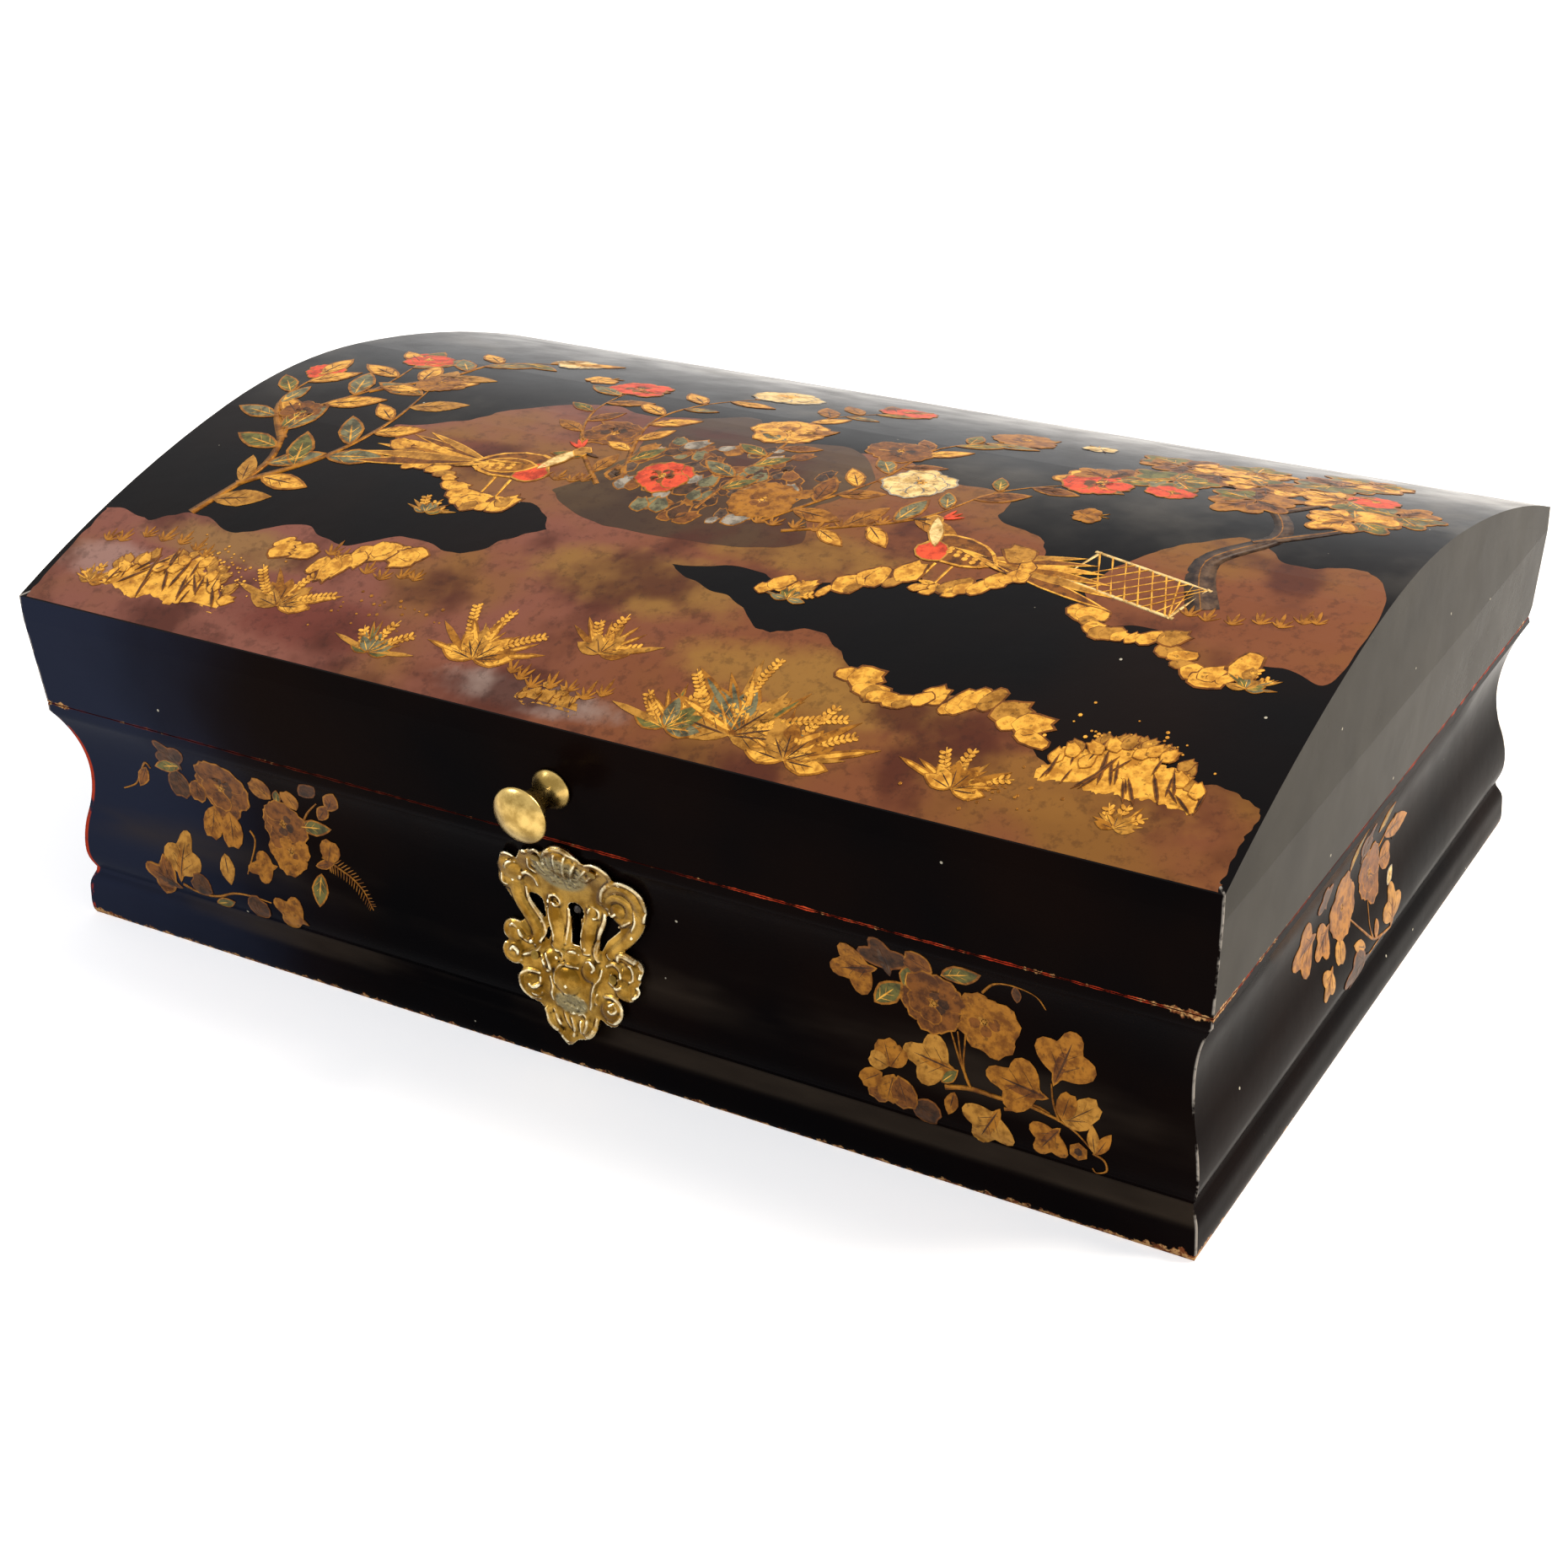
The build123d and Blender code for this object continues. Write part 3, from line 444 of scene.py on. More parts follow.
class Tint(Enum):
    """Paints of the raised decoration: light and dark hex values, how metallic, and the paints of rim and shade."""

    GILT = ("#e2a63f", "#a66d22", 0.3, "AMBER", "AMBER")
    STRAW = ("#e3c283", "#a8854a", 0.15, "ASH", "GILT")
    AMBER = ("#a0681e", "#6a3d0e", 0.25, "AMBER", "COPPER")
    COPPER = ("#7b4919", "#4a280e", 0.2, "AMBER", "UMBER")
    UMBER = ("#51321a", "#2b1a0d", 0.15, "COPPER", "BARK")
    OLIVE = ("#66602f", "#3b3a1d", 0.05, "AMBER", "SAGE")
    SAGE = ("#6f6a4c", "#3e3b2a", 0.0, "AMBER", "OLIVE")
    OCHRE = ("#b07c30", "#7d5118", 0.25, "OCHRE", "AMBER")
    VERMILION = ("#cf4a2a", "#98301b", 0.0, "AMBER", "COPPER")
    ASH = ("#93897a", "#5a5146", 0.0, "UMBER", "SAGE")
    BARK = ("#55402f", "#2a1c16", 0.0, "UMBER", "UMBER")

    @property
    def rim(self) -> "Tint":
        """The paint that outlines it."""
        return Tint[self.value[3]]

    @property
    def shade(self) -> "Tint":
        """The paint that shades it."""
        return Tint[self.value[4]]


@dataclass(frozen=True)
class RaisedPaint:
    """Powdered gold or coloured lacquer laid slightly proud of the black, rubbed thin in places."""

    tint: Tint

    def build(self) -> bpy.types.Material:
        """Writes the material.

        Returns:
            The finished material.
        """
        light, dark, metal, _, _ = self.tint.value
        make = Recipe("paint_" + self.tint.name.lower())
        tone = make.mix(make.patches(0.34, 0.62, 3.2, 4, 0.65), dark, light)
        tone = make.mix(make.times(make.patches(0.58, 0.72, 1.3, 3), 0.55), tone, "#2b170c")
        make.bump(make.noise(0.7, 2), 0.04)
        return make.surface(tone, 0.42, Metallic=metal, Specular_IOR_Level=0.12)


@dataclass(frozen=True)
class PaintedEarth:
    """Clouded earth colours brushed thinly over the black, rosy on the left and browner on the right.

    Each drift is a soft cloud of another colour: its centre, its half width and depth, and its colour.
    """

    name: str
    plum: str = "#744639"
    rust: str = "#6d3f26"
    gold: str = "#74501f"
    dusk: str = "#401d14"
    grime: str = "#2a1712"
    drifts: tuple[tuple[float, float, float, float, str], ...] = ()

    def build(self) -> bpy.types.Material:
        """Writes the material.

        Returns:
            The finished material.
        """
        make = Recipe(self.name)
        along = make.ramp(make.noise(38, 4, 0.6), 190.0, make.x)
        tone = make.mix(make.step(along, 0.0, 140.0), self.plum, self.rust)
        tone = make.mix(make.times(make.patches(0.46, 0.68, 44, 3), 0.7), tone, self.gold)
        ragged = make.noise(13, 4, 0.65)
        for x, y, wide, deep, colour in self.drifts:
            far = make.ramp(ragged, 1.6, make.oval(make.y, (x, y), (wide, deep)))
            tone = make.mix(make.times(make.step(far, 1.9, 0.9), 0.85), tone, colour)
        tone = make.mix(make.times(make.patches(0.47, 0.68, 26, 4), 0.85), tone, self.dusk)
        tone = make.mix(make.times(make.patches(0.5, 0.66, 3.2, 4, 0.7), 0.35), tone, self.grime)
        make.bump(make.noise(5, 3), 0.03)
        return make.surface(tone, 0.3, Specular_IOR_Level=0.08)


@dataclass(frozen=True)
class CastGilt:
    """Sand-cast, chased gilt brass: painted highlights on the ribs, patina and painted shade in the hollows, grey where
    matted.

    Each matted place is its middle in x and z and its half width and height.
    """

    name: str = "cast_gilt"
    dull: str = "#6d4c14"
    gold: str = "#a8823a"
    grey: str = "#858062"
    # Patina and painted shade in the hollows
    hollow: str = "#1f1508"
    # Painted highlight on the ribs
    rib_highlight: str = "#fbf0c9"
    matted: tuple[tuple[Point, Point], ...] = (((-2.5, 55.0), (8.0, 6.0)), ((-1.0, 19.0), (5.0, 3.0)))

    def build(self) -> bpy.types.Material:
        """Writes the material.

        Returns:
            The finished material.
        """
        make = Recipe(self.name)
        ridge = make.node("ShaderNodeNewGeometry").outputs["Pointiness"]
        tone = make.mix(make.patches(0.35, 0.65, 5, 3), self.dull, self.gold)
        for centre, reach in self.matted:
            share = make.times(make.step(make.oval(make.z, centre, reach), 1.15, 0.7), 0.7)
            tone = make.mix(share, tone, self.grey)
        # Patina and painted shade: dark brown where the mesh's pointiness shows a hollow
        tone = make.mix(make.step(ridge, 0.495, 0.45), tone, self.hollow)
        # Painted highlight: near-white base colour on the ridges, broken up by noise
        bright = make.ramp(make.patches(0.4, 0.56, 3, 2), 0.65, 0.35)
        tone = make.mix(make.times(make.step(ridge, 0.512, 0.55), bright), tone, self.rib_highlight)
        rough = make.ramp(make.noise(1.2, 3), 0.3, 0.12)
        make.bump(make.noise(0.6, 3), 0.05)
        return make.surface(tone, rough, Metallic=1.0)


@dataclass(frozen=True)
class DulledMetal:
    """Brass or iron that has been handled: two tones, fine scratches along one axis and spots."""

    name: str
    light: str
    dark: str
    rough: float
    stretch: Point3 = (1.0, 1.0, 1.0)
    grain: float = 2.0

    def build(self) -> bpy.types.Material:
        """Writes the material.

        Returns:
            The finished material.
        """
        make = Recipe(self.name)
        tone = make.mix(make.patches(0.35, 0.68, self.grain * 2, 4), self.dark, self.light)
        streak = make.noise(self.grain * 0.3, 2, 0.5, self.stretch)
        rough = make.ramp(streak, 0.22, self.rough - 0.11)
        make.bump(streak, 0.02)
        return make.surface(tone, rough, Metallic=1.0)


@dataclass(frozen=True)
class BareBeech:
    """Planed and aged beech: straight grain along the board, darker pores and a few stains."""

    name: str = "bare_beech"

    def build(self) -> bpy.types.Material:
        """Writes the material.

        Returns:
            The finished material.
        """
        make = Recipe(self.name)
        grain = make.noise(1.4, 4, 0.6, (0.03, 1.0, 1.0))
        tone = make.mix(make.step(grain, 0.3, 0.7), "#6e4a2b", "#94693f")
        tone = make.mix(make.times(make.patches(0.55, 0.75, 45, 3), 0.5), tone, "#4d3320")
        make.bump(grain, 0.08)
        return make.surface(tone, 0.62)


@dataclass(frozen=True)
class PaleFloor:
    """Plain matt studio paper that reads as white where the camera or a polished surface sees it."""

    glow: float = 0.38

    def build(self) -> bpy.types.Material:
        """Writes the material.

        Returns:
            The finished material.
        """
        make = Recipe("studio_paper")
        glow = make.times(seen_directly(make.tree), self.glow)
        fill(make.shader, {"Emission Strength": glow, "Emission Color": "#ffffff"})
        tone = make.mix(make.noise(60, 2), "#f1efec", "#f4f2ef")
        return make.surface(tone, 0.9, Specular_IOR_Level=0.1)


# Modelling helpers


def alone(piece: bpy.types.Object) -> None:
    """Leaves one piece selected and active.

    Args:
        piece: The piece.
    """
    bpy.ops.object.select_all(action="DESELECT")
    piece.select_set(True)
    bpy.context.view_layer.objects.active = piece


@contextmanager
def editing(piece: bpy.types.Object) -> Iterator[None]:
    """Puts a piece in edit mode with all of it selected, and takes it out at the end.

    Args:
        piece: The piece.

    Returns:
        A context that lasts as long as the piece is edited.
    """
    alone(piece)
    bpy.ops.object.mode_set(mode="EDIT")
    bpy.ops.mesh.select_all(action="SELECT")
    yield
    bpy.ops.object.mode_set(mode="OBJECT")


def pick(piece: bpy.types.Object, chosen: set[int]) -> None:
    """Selects only the vertices with the chosen numbers, of a piece that is in edit mode.

    Args:
        piece: The piece.
        chosen: Numbers of the vertices.
    """
    bpy.ops.mesh.select_all(action="DESELECT")
    shape = bmesh.from_edit_mesh(piece.data)
    shape.verts.ensure_lookup_table()
    for number in chosen:
        shape.verts[number].select = True
    shape.select_flush_mode()
    bmesh.update_edit_mesh(piece.data)


def paint_with(piece: bpy.types.Object, *materials: bpy.types.Material) -> None:
    """Gives a piece these materials and no others.

    Args:
        piece: The piece.
        *materials: The materials in the order of their slots.
    """
    piece.data.materials.clear()
    for material in materials:
        piece.data.materials.append(material)


def added(name: str, data: bpy.types.ID) -> bpy.types.Object:
    """Makes an object of some data and puts it in the scene.

    Args:
        name: Name of the object.
        data: Its mesh or curve.

    Returns:
        The object.
    """
    piece = bpy.data.objects.new(name, data)
    bpy.context.collection.objects.link(piece)
    return piece


def rays_onto(mesh: bpy.types.Mesh) -> BVHTree:
    """The tree that finds where a ray meets a mesh."""
    return BVHTree.FromPolygons([v.co for v in mesh.vertices], [tuple(p.vertices) for p in mesh.polygons])


def away(at: Point, turn: float, far: float) -> Point:
    """The point at a distance from another, in a direction in degrees from +X."""
    way = math.radians(turn)
    return (at[0] + math.cos(way) * far, at[1] + math.sin(way) * far)


def heading(start: Point, end: Point) -> float:
    """The direction from one point to another, in degrees from +X."""
    return math.degrees(math.atan2(end[1] - start[1], end[0] - start[0]))


def drawn(name: str, kind: str, routes: Sequence[Sequence], **settings: object) -> bpy.types.Object:
    """Models a flat patch, with openings where routes lie inside one another.

    Args:
        name: Name of the piece.
        kind: Kind of spline.
        routes: Corners of each closed outline, in millimetres.
        **settings: Properties of the curve, such as its extrusion.

    Returns:
        The patch as a mesh.
    """
    curve = bpy.data.curves.new(name, "CURVE")
    curve.dimensions = "2D"
    curve.fill_mode = "BOTH"
    for key, value in settings.items():
        setattr(curve, key, value)
    for route in routes:
        spline = curve.splines.new(kind)
        spline.points.add(len(route) - 1)
        for point, (x, y) in zip(spline.points, route):
            point.co = (x * MM, y * MM, 0, 1)
        spline.use_cyclic_u = True
        spline.order_u = 3
    alone(added(name, curve))
    bpy.ops.object.convert(target="MESH")
    return bpy.context.object


def join(pieces: list[bpy.types.Object], name: str) -> bpy.types.Object:
    """Joins pieces into one with a name.

    Args:
        pieces: The pieces; the first takes in the others.
        name: Its name.

    Returns:
        The whole piece.
    """
    bpy.ops.object.select_all(action="DESELECT")
    for piece in pieces:
        piece.select_set(True)
    bpy.context.view_layer.objects.active = pieces[0]
    if len(pieces) > 1:
        bpy.ops.object.join()
    whole = pieces[0]
    whole.name = whole.data.name = name
    return whole


class Palette:
    """The paints of the raised decoration, each made once."""

    def __init__(self) -> None:
        """Writes every paint."""
        self.paints = {tint: RaisedPaint(tint).build() for tint in Tint}

    def __getitem__(self, tint: Tint) -> bpy.types.Material:
        """The material of one tint."""
        return self.paints[tint]


class Shape(Enum):
    """Outlines of the painted shapes: the radii of one half from tip to stalk, and the width against the length."""

    LEAF = ((1.2, 0.96, 0.92, 1.0, 0.92, 0.96, 1.1), 0.5)
    LOBED = ((1.15, 1.12, 1.0, 0.82, 0.75, 0.92, 1.13, 1.24, 1.2, 1.02, 0.84, 0.7, 0.6, 0.54, 0.52, 0.58, 0.8), 0.9)
    PETAL = ((0.9, 1.08, 1.1, 1.05, 0.92, 0.78, 0.72, 0.8), 0.95)
    BLADE = ((1.0, 0.7, 0.6, 0.75, 1.0), 0.17)
    STONE = ((0.95, 1.05, 0.95, 1.05, 1.0, 0.9), 0.56)
    LUMP = ((0.8, 1.1, 0.9, 1.0, 1.15, 0.95, 0.85, 0.9), 0.62)
    DOT = ((1.0, 1.0, 1.0, 1.0), 1.0)


class Motif:
    """A small raised shape, modelled flat once and copied wherever it is painted.

    It points along +Y with its stalk end at the origin and is about one unit long; its height is in millimetres.
    """

    low: float = -0.04
    field: float = 0.11
    relief: float = 0.03

    def __init__(self, shape: Shape) -> None:
        """Models the shape: a disc drawn in to its outline, given thickness and an inset field.

        Args:
            shape: Its outline.
        """
        radii, width = shape.value
        corners = 2 * (len(radii) - 1)
        bpy.ops.object.select_all(action="DESELECT")
        bpy.ops.mesh.primitive_circle_add(vertices=corners, radius=0.5, fill_type="NGON")
        self.piece = bpy.context.object
        with editing(self.piece):
            for number, radius in enumerate(radii):
                pick(self.piece, {number, (corners - number) % corners})
                bpy.ops.transform.resize(value=(radius * width, radius, 1), center_override=(0, 0, 0))
            bpy.ops.mesh.select_all(action="SELECT")
            bpy.ops.transform.translate(value=(0, 0.5 * radii[-1], self.low))
            height = self.field - self.relief - self.low
            bpy.ops.mesh.extrude_region_move(TRANSFORM_OT_translate={"value": (0, 0, height)})
            bpy.ops.mesh.inset(thickness=min(0.05, 0.16 * width))
            bpy.ops.transform.translate(value=(0, 0, self.relief))
            bpy.ops.mesh.select_all(action="SELECT")
            bpy.ops.mesh.quads_convert_to_tris(ngon_method="BEAUTY")
            bpy.ops.mesh.normals_make_consistent(inside=False)

    def copy(
        self, at: Point, turn: float, size: Point, lift: float, field: bpy.types.Material, rim: bpy.types.Material
    ) -> bpy.types.Object:
        """Copies the shape with its own mesh.

        Args:
            at: Place of the stalk end on the flat sheet, in millimetres.
            turn: Direction that it points in, in degrees from +X.
            size: Width factor and length in millimetres.
            lift: How far it is raised, in millimetres.
            field: Material of the field.
            rim: Material of the rim.

        Returns:
            The copy.
        """
        new = added(self.piece.name, self.piece.data.copy())
        paint_with(new, field, rim)
        for face in new.data.polygons:
            face.material_index = 0 if face.center.z > self.field - 0.005 else 1
        place = Matrix.Translation((at[0] * MM, at[1] * MM, lift * MM))
        turned = Matrix.Rotation(math.radians(turn - 90), 4, "Z")
        new.data.transform(place @ turned @ Matrix.Diagonal((size[0] * size[1] * MM, size[1] * MM, MM, 1)))
        return new


def curved(before: float, first: float, last: float, after: float, share: float) -> float:
    """One coordinate of a smooth line a share of the way from first to last, with the points before and after.

    Args:
        before: Value at the point before the run.
        first: Value where the run starts.
        last: Value where the run ends.
        after: Value at the point after the run.
        share: How far along the run, from 0 to 1.

    Returns:
        The value there.
    """
    bow = 2 * before - 5 * first + 4 * last - after
    return 0.5 * (
        2 * first + (last - before) * share + bow * share**2 + (3 * first - before - 3 * last + after) * share**3
    )


def smooth(route: Sequence[Point], steps: int) -> list[Point]:
    """Passes a smooth line through points.

    Args:
        route: The points, in millimetres.
        steps: Number of parts that each run is divided into.

    Returns:
        The points of the line.
    """
    ends = [route[0], *route, route[-1]]
    line = [
        tuple(curved(*values, number / steps) for values in zip(*corners))
        for corners in zip(ends, ends[1:], ends[2:], ends[3:])
        for number in range(steps)
    ]
    return [*line, route[-1]]


def ring(route: Sequence[Point], steps: int) -> list[Point]:
    """A smooth closed line through points, without its last point."""
    return smooth((*route, route[0]), steps)[:-1]


def spaced(points: list[Point], gap: float) -> Iterator[tuple[Point, Point]]:
    """Runs of a line that end about a gap apart, each with its first and last point.

    Args:
        points: The points of the line.
        gap: The least length of a run.

    Returns:
        The two points of each run.
    """
    travelled = 0.0
    for before, at in zip(points, points[1:]):
        travelled += math.dist(before, at)
        if travelled > gap:
            travelled = 0.0
            yield before, at


Line = tuple[list[Vector], list[float]]


def cords(lines: list[Line], sides: int) -> bpy.types.Object:
    """Models round cords, each through its own points.

    Args:
        lines: The middle line of each cord in metres and its radius at each point in millimetres.
        sides: How round they are.

    Returns:
        The cords as one mesh.
    """
    curve = bpy.data.curves.new("cords", "CURVE")
    curve.dimensions = "3D"
    for points, radii in lines:
        spline = curve.splines.new("POLY")
        spline.points.add(len(points) - 1)
        for corner, point, radius in zip(spline.points, points, radii):
            corner.co = (*point, 1)
            corner.radius = radius
    curve.bevel_depth = MM
    curve.bevel_resolution = sides
    curve.use_fill_caps = True
    alone(added("cords", curve))
    bpy.ops.object.convert(target="MESH")
    return bpy.context.object


class Side(Enum):
    """Faces of the box that carry painting: ray start, flat x, flat y and the way the ray goes."""

    LID = ((0, 0, 0.3), (1, 0, 0), (0, 1, 0), (0, 0, -1))
    FRONT = ((0, -0.3, 0), (1, 0, 0), (0, 0, 1), (0, 1, 0))
    RIGHT = ((0.3, 0, 0), (0, 1, 0), (0, 0, 1), (-1, 0, 0))
    LEFT = ((-0.3, 0, 0), (0, -1, 0), (0, 0, 1), (1, 0, 0))


@dataclass
class Sheet:
    """A sheet of raised painting, drawn flat in millimetres and then laid on one face of the box.

    What is broad is cut every few millimetres, so that it follows the curve of the wall.
    """

    side: Side
    carrier: str
    spacing: float
    cut_all: bool
    proud: float = 0.2
    margin: float = 0.4 * MM
    pieces: list[bpy.types.Object] = field(default_factory=list)
    broad: list[bpy.types.Object] = field(default_factory=list)
    strokes: dict[tuple[Tint, float], list[Line]] = field(default_factory=dict)

    def cut(self, piece: bpy.types.Object) -> None:
        """Cuts a piece into strips across the curve of the wall.

        Args:
            piece: The piece, still flat.
        """
        low = min(v.co.y for v in piece.data.vertices)
        high = max(v.co.y for v in piece.data.vertices)
        with editing(piece):
            for count in range(1, int((high - low) / self.spacing / MM) + 1):
                bpy.ops.mesh.select_all(action="SELECT")
                bpy.ops.mesh.bisect(plane_co=(0, low + count * self.spacing * MM, 0), plane_no=(0, 1, 0))

    def draw_strokes(self, palette: Palette) -> None:
        """Models all lines of one paint and thickness together, flattened to the same height.

        Args:
            palette: The paints.
        """
        for (tint, thick), lines in self.strokes.items():
            piece = cords(lines, 0)
            piece.data.transform(Matrix.Diagonal((1, 1, self.proud / thick, 1)))
            paint_with(piece, palette[tint])
            self.pieces.append(piece)

    def lay(self, name: str, body: str, palette: Palette) -> None:
        """Joins the sheet and lays it on the box.

        Args:
            name: Name of the finished piece.
            body: The body that carries it.
            palette: Paints of its lines.
        """
        self.draw_strokes(palette)
        if self.broad:
            self.cut(join(self.broad, "washes"))
            self.pieces.append(self.broad[0])
        piece = join(self.pieces, name)
        if self.cut_all:
            self.cut(piece)
        tree = rays_onto(frame["nodes"][self.carrier].data)
        start, right, up, way = (Vector(v) for v in self.side.value)
        ends = [Vector(v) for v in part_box(self.carrier)]
        left, east = sorted(end.dot(right) for end in ends)
        south, north = sorted(end.dot(up) for end in ends)
        for corner in piece.data.vertices:
            x = min(max(corner.co.x, left + self.margin), east - self.margin)
            y = min(max(corner.co.y, south + self.margin), north - self.margin)
            place, normal, _, _ = tree.ray_cast(start + right * x + up * y, way)
            corner.co = place + normal * corner.co.z
        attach(piece, body)
        log.info("%s: %d faces", name, len(piece.data.polygons))


@dataclass
class Painter:
    """Paints leaves, blossoms, stems, stones and grasses on one sheet."""

    sheet: Sheet
    palette: Palette
    motifs: dict[Shape, Motif]
    chance: random.Random
    count: int = 0
    layers: int = 11
    dot: float = 0.8

    def vary(self, low: float, high: float) -> float:
        """Draws a number between two others."""
        return self.chance.uniform(low, high)

    def turned(self, turn: float, most: float) -> float:
        """A direction that differs from turn by at most so many degrees."""
        return turn + self.vary(-most, most)

    def lift(self) -> float:
        """Height of the next layer in millimetres, so that no two that overlap lie at one height."""
        return 0.02 + 0.006 * (self.count % self.layers)

    def put(
        self,
        shape: Shape,
        at: Point,
        turn: float,
        size: float,
        tint: Tint,
        flat: float = 1.0,
        rim: Tint | None = None,
        layer: float = 0.0,
    ) -> None:
        """Puts one shape on the sheet.

        Args:
            shape: Which shape.
            at: Place of its stalk end.
            turn: Direction that it points in, in degrees.
            size: Length in millimetres.
            tint: Its paint.
            flat: Width factor.
            rim: Paint of its rim, where it isn't the usual one.
            layer: How much higher than usual it lies.
        """
        self.count += 1
        paints = (self.palette[tint], self.palette[rim or tint.rim])
        self.sheet.pieces.append(self.motifs[shape].copy(at, turn, (flat, size), self.lift() + layer, *paints))

    def leaf(
        self, at: Point, turn: float, size: float, tint: Tint, shape: Shape = Shape.LEAF, flat: float = 1.0
    ) -> None:
        """Puts a leaf with its middle vein and, where it is large, its side veins.

        Args:
            at: Place of its stalk end.
            turn: Direction that it points in, in degrees.
            size: Length in millimetres.
            tint: Its paint.
            shape: Its outline.
            flat: Width factor.
        """
        self.put(shape, at, turn, size, tint, flat)
        if shape is Shape.LOBED:
            self.put(Shape.LEAF, at, self.turned(turn, 8), size * 0.62, tint.shade, flat * 0.8)
        vein = self.palette[Tint.GILT if tint in (Tint.OLIVE, Tint.SAGE, Tint.VERMILION) else Tint.UMBER]
        veins = [(0.06, 0, 0.72, 0.5)]
        if size >= 8:
            veins += [(share, lean, long, 0.35) for share, long in ((0.22, 0.34), (0.45, 0.26)) for lean in (1, -1)]
        for share, lean, long, wide in veins:
            root = away(at, turn, size * share)
            angle = turn + lean * (42 if share < 0.4 else 38)
            lift = self.lift() + 0.04
            self.sheet.pieces.append(
                self.motifs[Shape.BLADE].copy(root, angle, (wide * flat, size * long), lift, vein, vein)
            )

    def line(self, route: Sequence[Point], thick: float, thin: float, tint: Tint, steps: int = 5) -> list[Point]:
        """Draws a smooth line that tapers from its first end to its last.

        Args:
            route: Points that it passes through.
            thick: Width at its first end.
            thin: Width at its last end.
            tint: Its paint.
            steps: How finely it is divided.

        Returns:
            The points of the line.
        """
        self.count += 1
        points = smooth(route, steps)
        last = len(points) - 1
        radii = [(thick + (thin - thick) * number / last) / 2 for number in range(last + 1)]
        lift = (0.04 + 0.005 * (self.count % self.layers)) * thick / self.sheet.proud
        middle = [Vector((x, y, lift)) * MM for x, y in points]
        self.sheet.strokes.setdefault((tint, thick), []).append((middle, radii))
        return points

    def blossom(self, at: Point, radius: float, tint: Tint, petals: int = 7, heart: Tint = Tint.GILT) -> None:
        """Paints a flower of two rings of petals round a heart of dots.

        Args:
            at: Its middle.
            radius: Its radius in millimetres.
            tint: Its paint.
            petals: Number of petals in the outer ring.
            heart: Paint of its heart.
        """
        start = self.vary(0, 360)
        rings = ((1.0, petals, 0.0, tint), (0.72, petals - 2, 24.0, tint), (0.4, 5, 0.0, tint.shade))
        for reach, count, lean, paint in rings:
            for number in range(count):
                turn = start + lean + 360 * number / count + self.vary(-9, 9)
                root = away(at, turn, radius * 0.08)
                size = radius * reach * self.vary(0.8, 1.08)
                self.put(Shape.PETAL, root, turn, size, paint, self.vary(0.85, 1.1))
        middle = (at[0], at[1] - 0.06 * radius)
        for number in range(7):
            root = away(middle, start + 60 * number, 0.13 * radius if number else 0.0)
            self.put(Shape.DOT, root, 90, radius * 0.13, heart)

    def bough(self, route: Sequence[Point], thick: float, size: float, tints: tuple[Tint, ...], gap: float) -> None:
        """Paints a stem with leaves on both sides and one at its tip.

        Args:
            route: Points that the stem passes through.
            thick: Width at its foot.
            size: Length of a leaf.
            tints: Paints that the leaves take by turns.
            gap: Distance between leaves.
        """
        points = self.line(route, thick, 0.35, Tint.AMBER, 6)
        side = 1
        for before, at in spaced(points, gap):
            side = -side
            turn = heading(before, at) + side * self.vary(35, 70)
            self.leaf(at, turn, size * self.vary(0.75, 1.15), self.chance.choice(tints))
        self.leaf(points[-1], heading(*points[-2:]), size, self.chance.choice(tints))

    def spike(self, at: Point, turn: float, size: float, tint: Tint) -> None:
        """Paints a stem set with pairs of small buds.

        Args:
            at: Its foot.
            turn: Direction that it points in, in degrees.
            size: Length in millimetres.
            tint: Its paint.
        """
        gap, bow = 1.3, size * 0.06
        middle = away(away(at, turn, size / 2), turn + 90, bow)
        self.line((at, middle, away(at, turn, size)), 0.45, 0.3, tint, 3)
        for number in range(3, int(size / gap)):
            far = number * gap
            root = away(away(at, turn, far), turn + 90, bow * math.sin(far / size * math.pi))
            for side in (-1, 1):
                self.put(Shape.STONE, root, turn + side * 50, 1.9, tint)

    def tuft(self, at: Point, size: float, tints: tuple[Tint, ...]) -> None:
        """Paints a tuft of grass blades, broad leaves and budded stems.

        Args:
            at: Its foot.
            size: Length of its longest blade.
            tints: Its paints.
        """
        for turn in range(12, 170, 17):
            length = size * self.vary(0.5, 1.0) * (0.75 + 0.25 * abs(math.cos(math.radians(turn))))
            root = (at[0] + self.vary(-1, 1) * size * 0.12, at[1] + self.vary(0, 1) * size * 0.06)
            self.put(Shape.BLADE, root, self.turned(turn, 6), length, self.chance.choice(tints), 1.2)
        for turn in (35, 80, 128):
            self.spike(at, self.turned(turn, 12), size * self.vary(0.7, 0.95), tints[0])
        for turn in (8, 32, 62, 98, 132, 168):
            self.leaf(at, self.turned(turn, 8), size * 0.45, self.chance.choice(tints[1:]), flat=1.15)

    def bank(self, route: Sequence[Point], size: float, tint: Tint, gap: float) -> None:
        """Paints a broken gold edge of overlapping slanting lumps along a shore.

        Args:
            route: Points of the shore.
            size: Length of a lump.
            tint: The usual paint.
            gap: Distance between lumps.
        """
        for before, (x, y) in spaced(smooth(route, 12), gap):
            turn = heading(before, (x, y)) + self.vary(20, 62)
            at = (x + self.vary(-0.8, 0.8), y + self.vary(-1.4, 1.4) - size * 0.35)
            long, wide = size * self.vary(0.55, 1.25), self.vary(0.75, 1.25)
            paint = self.chance.choice((tint, tint, tint, Tint.OCHRE))
            self.put(self.chance.choice((Shape.STONE, Shape.LUMP)), at, turn, long, paint, wide, Tint.COPPER)

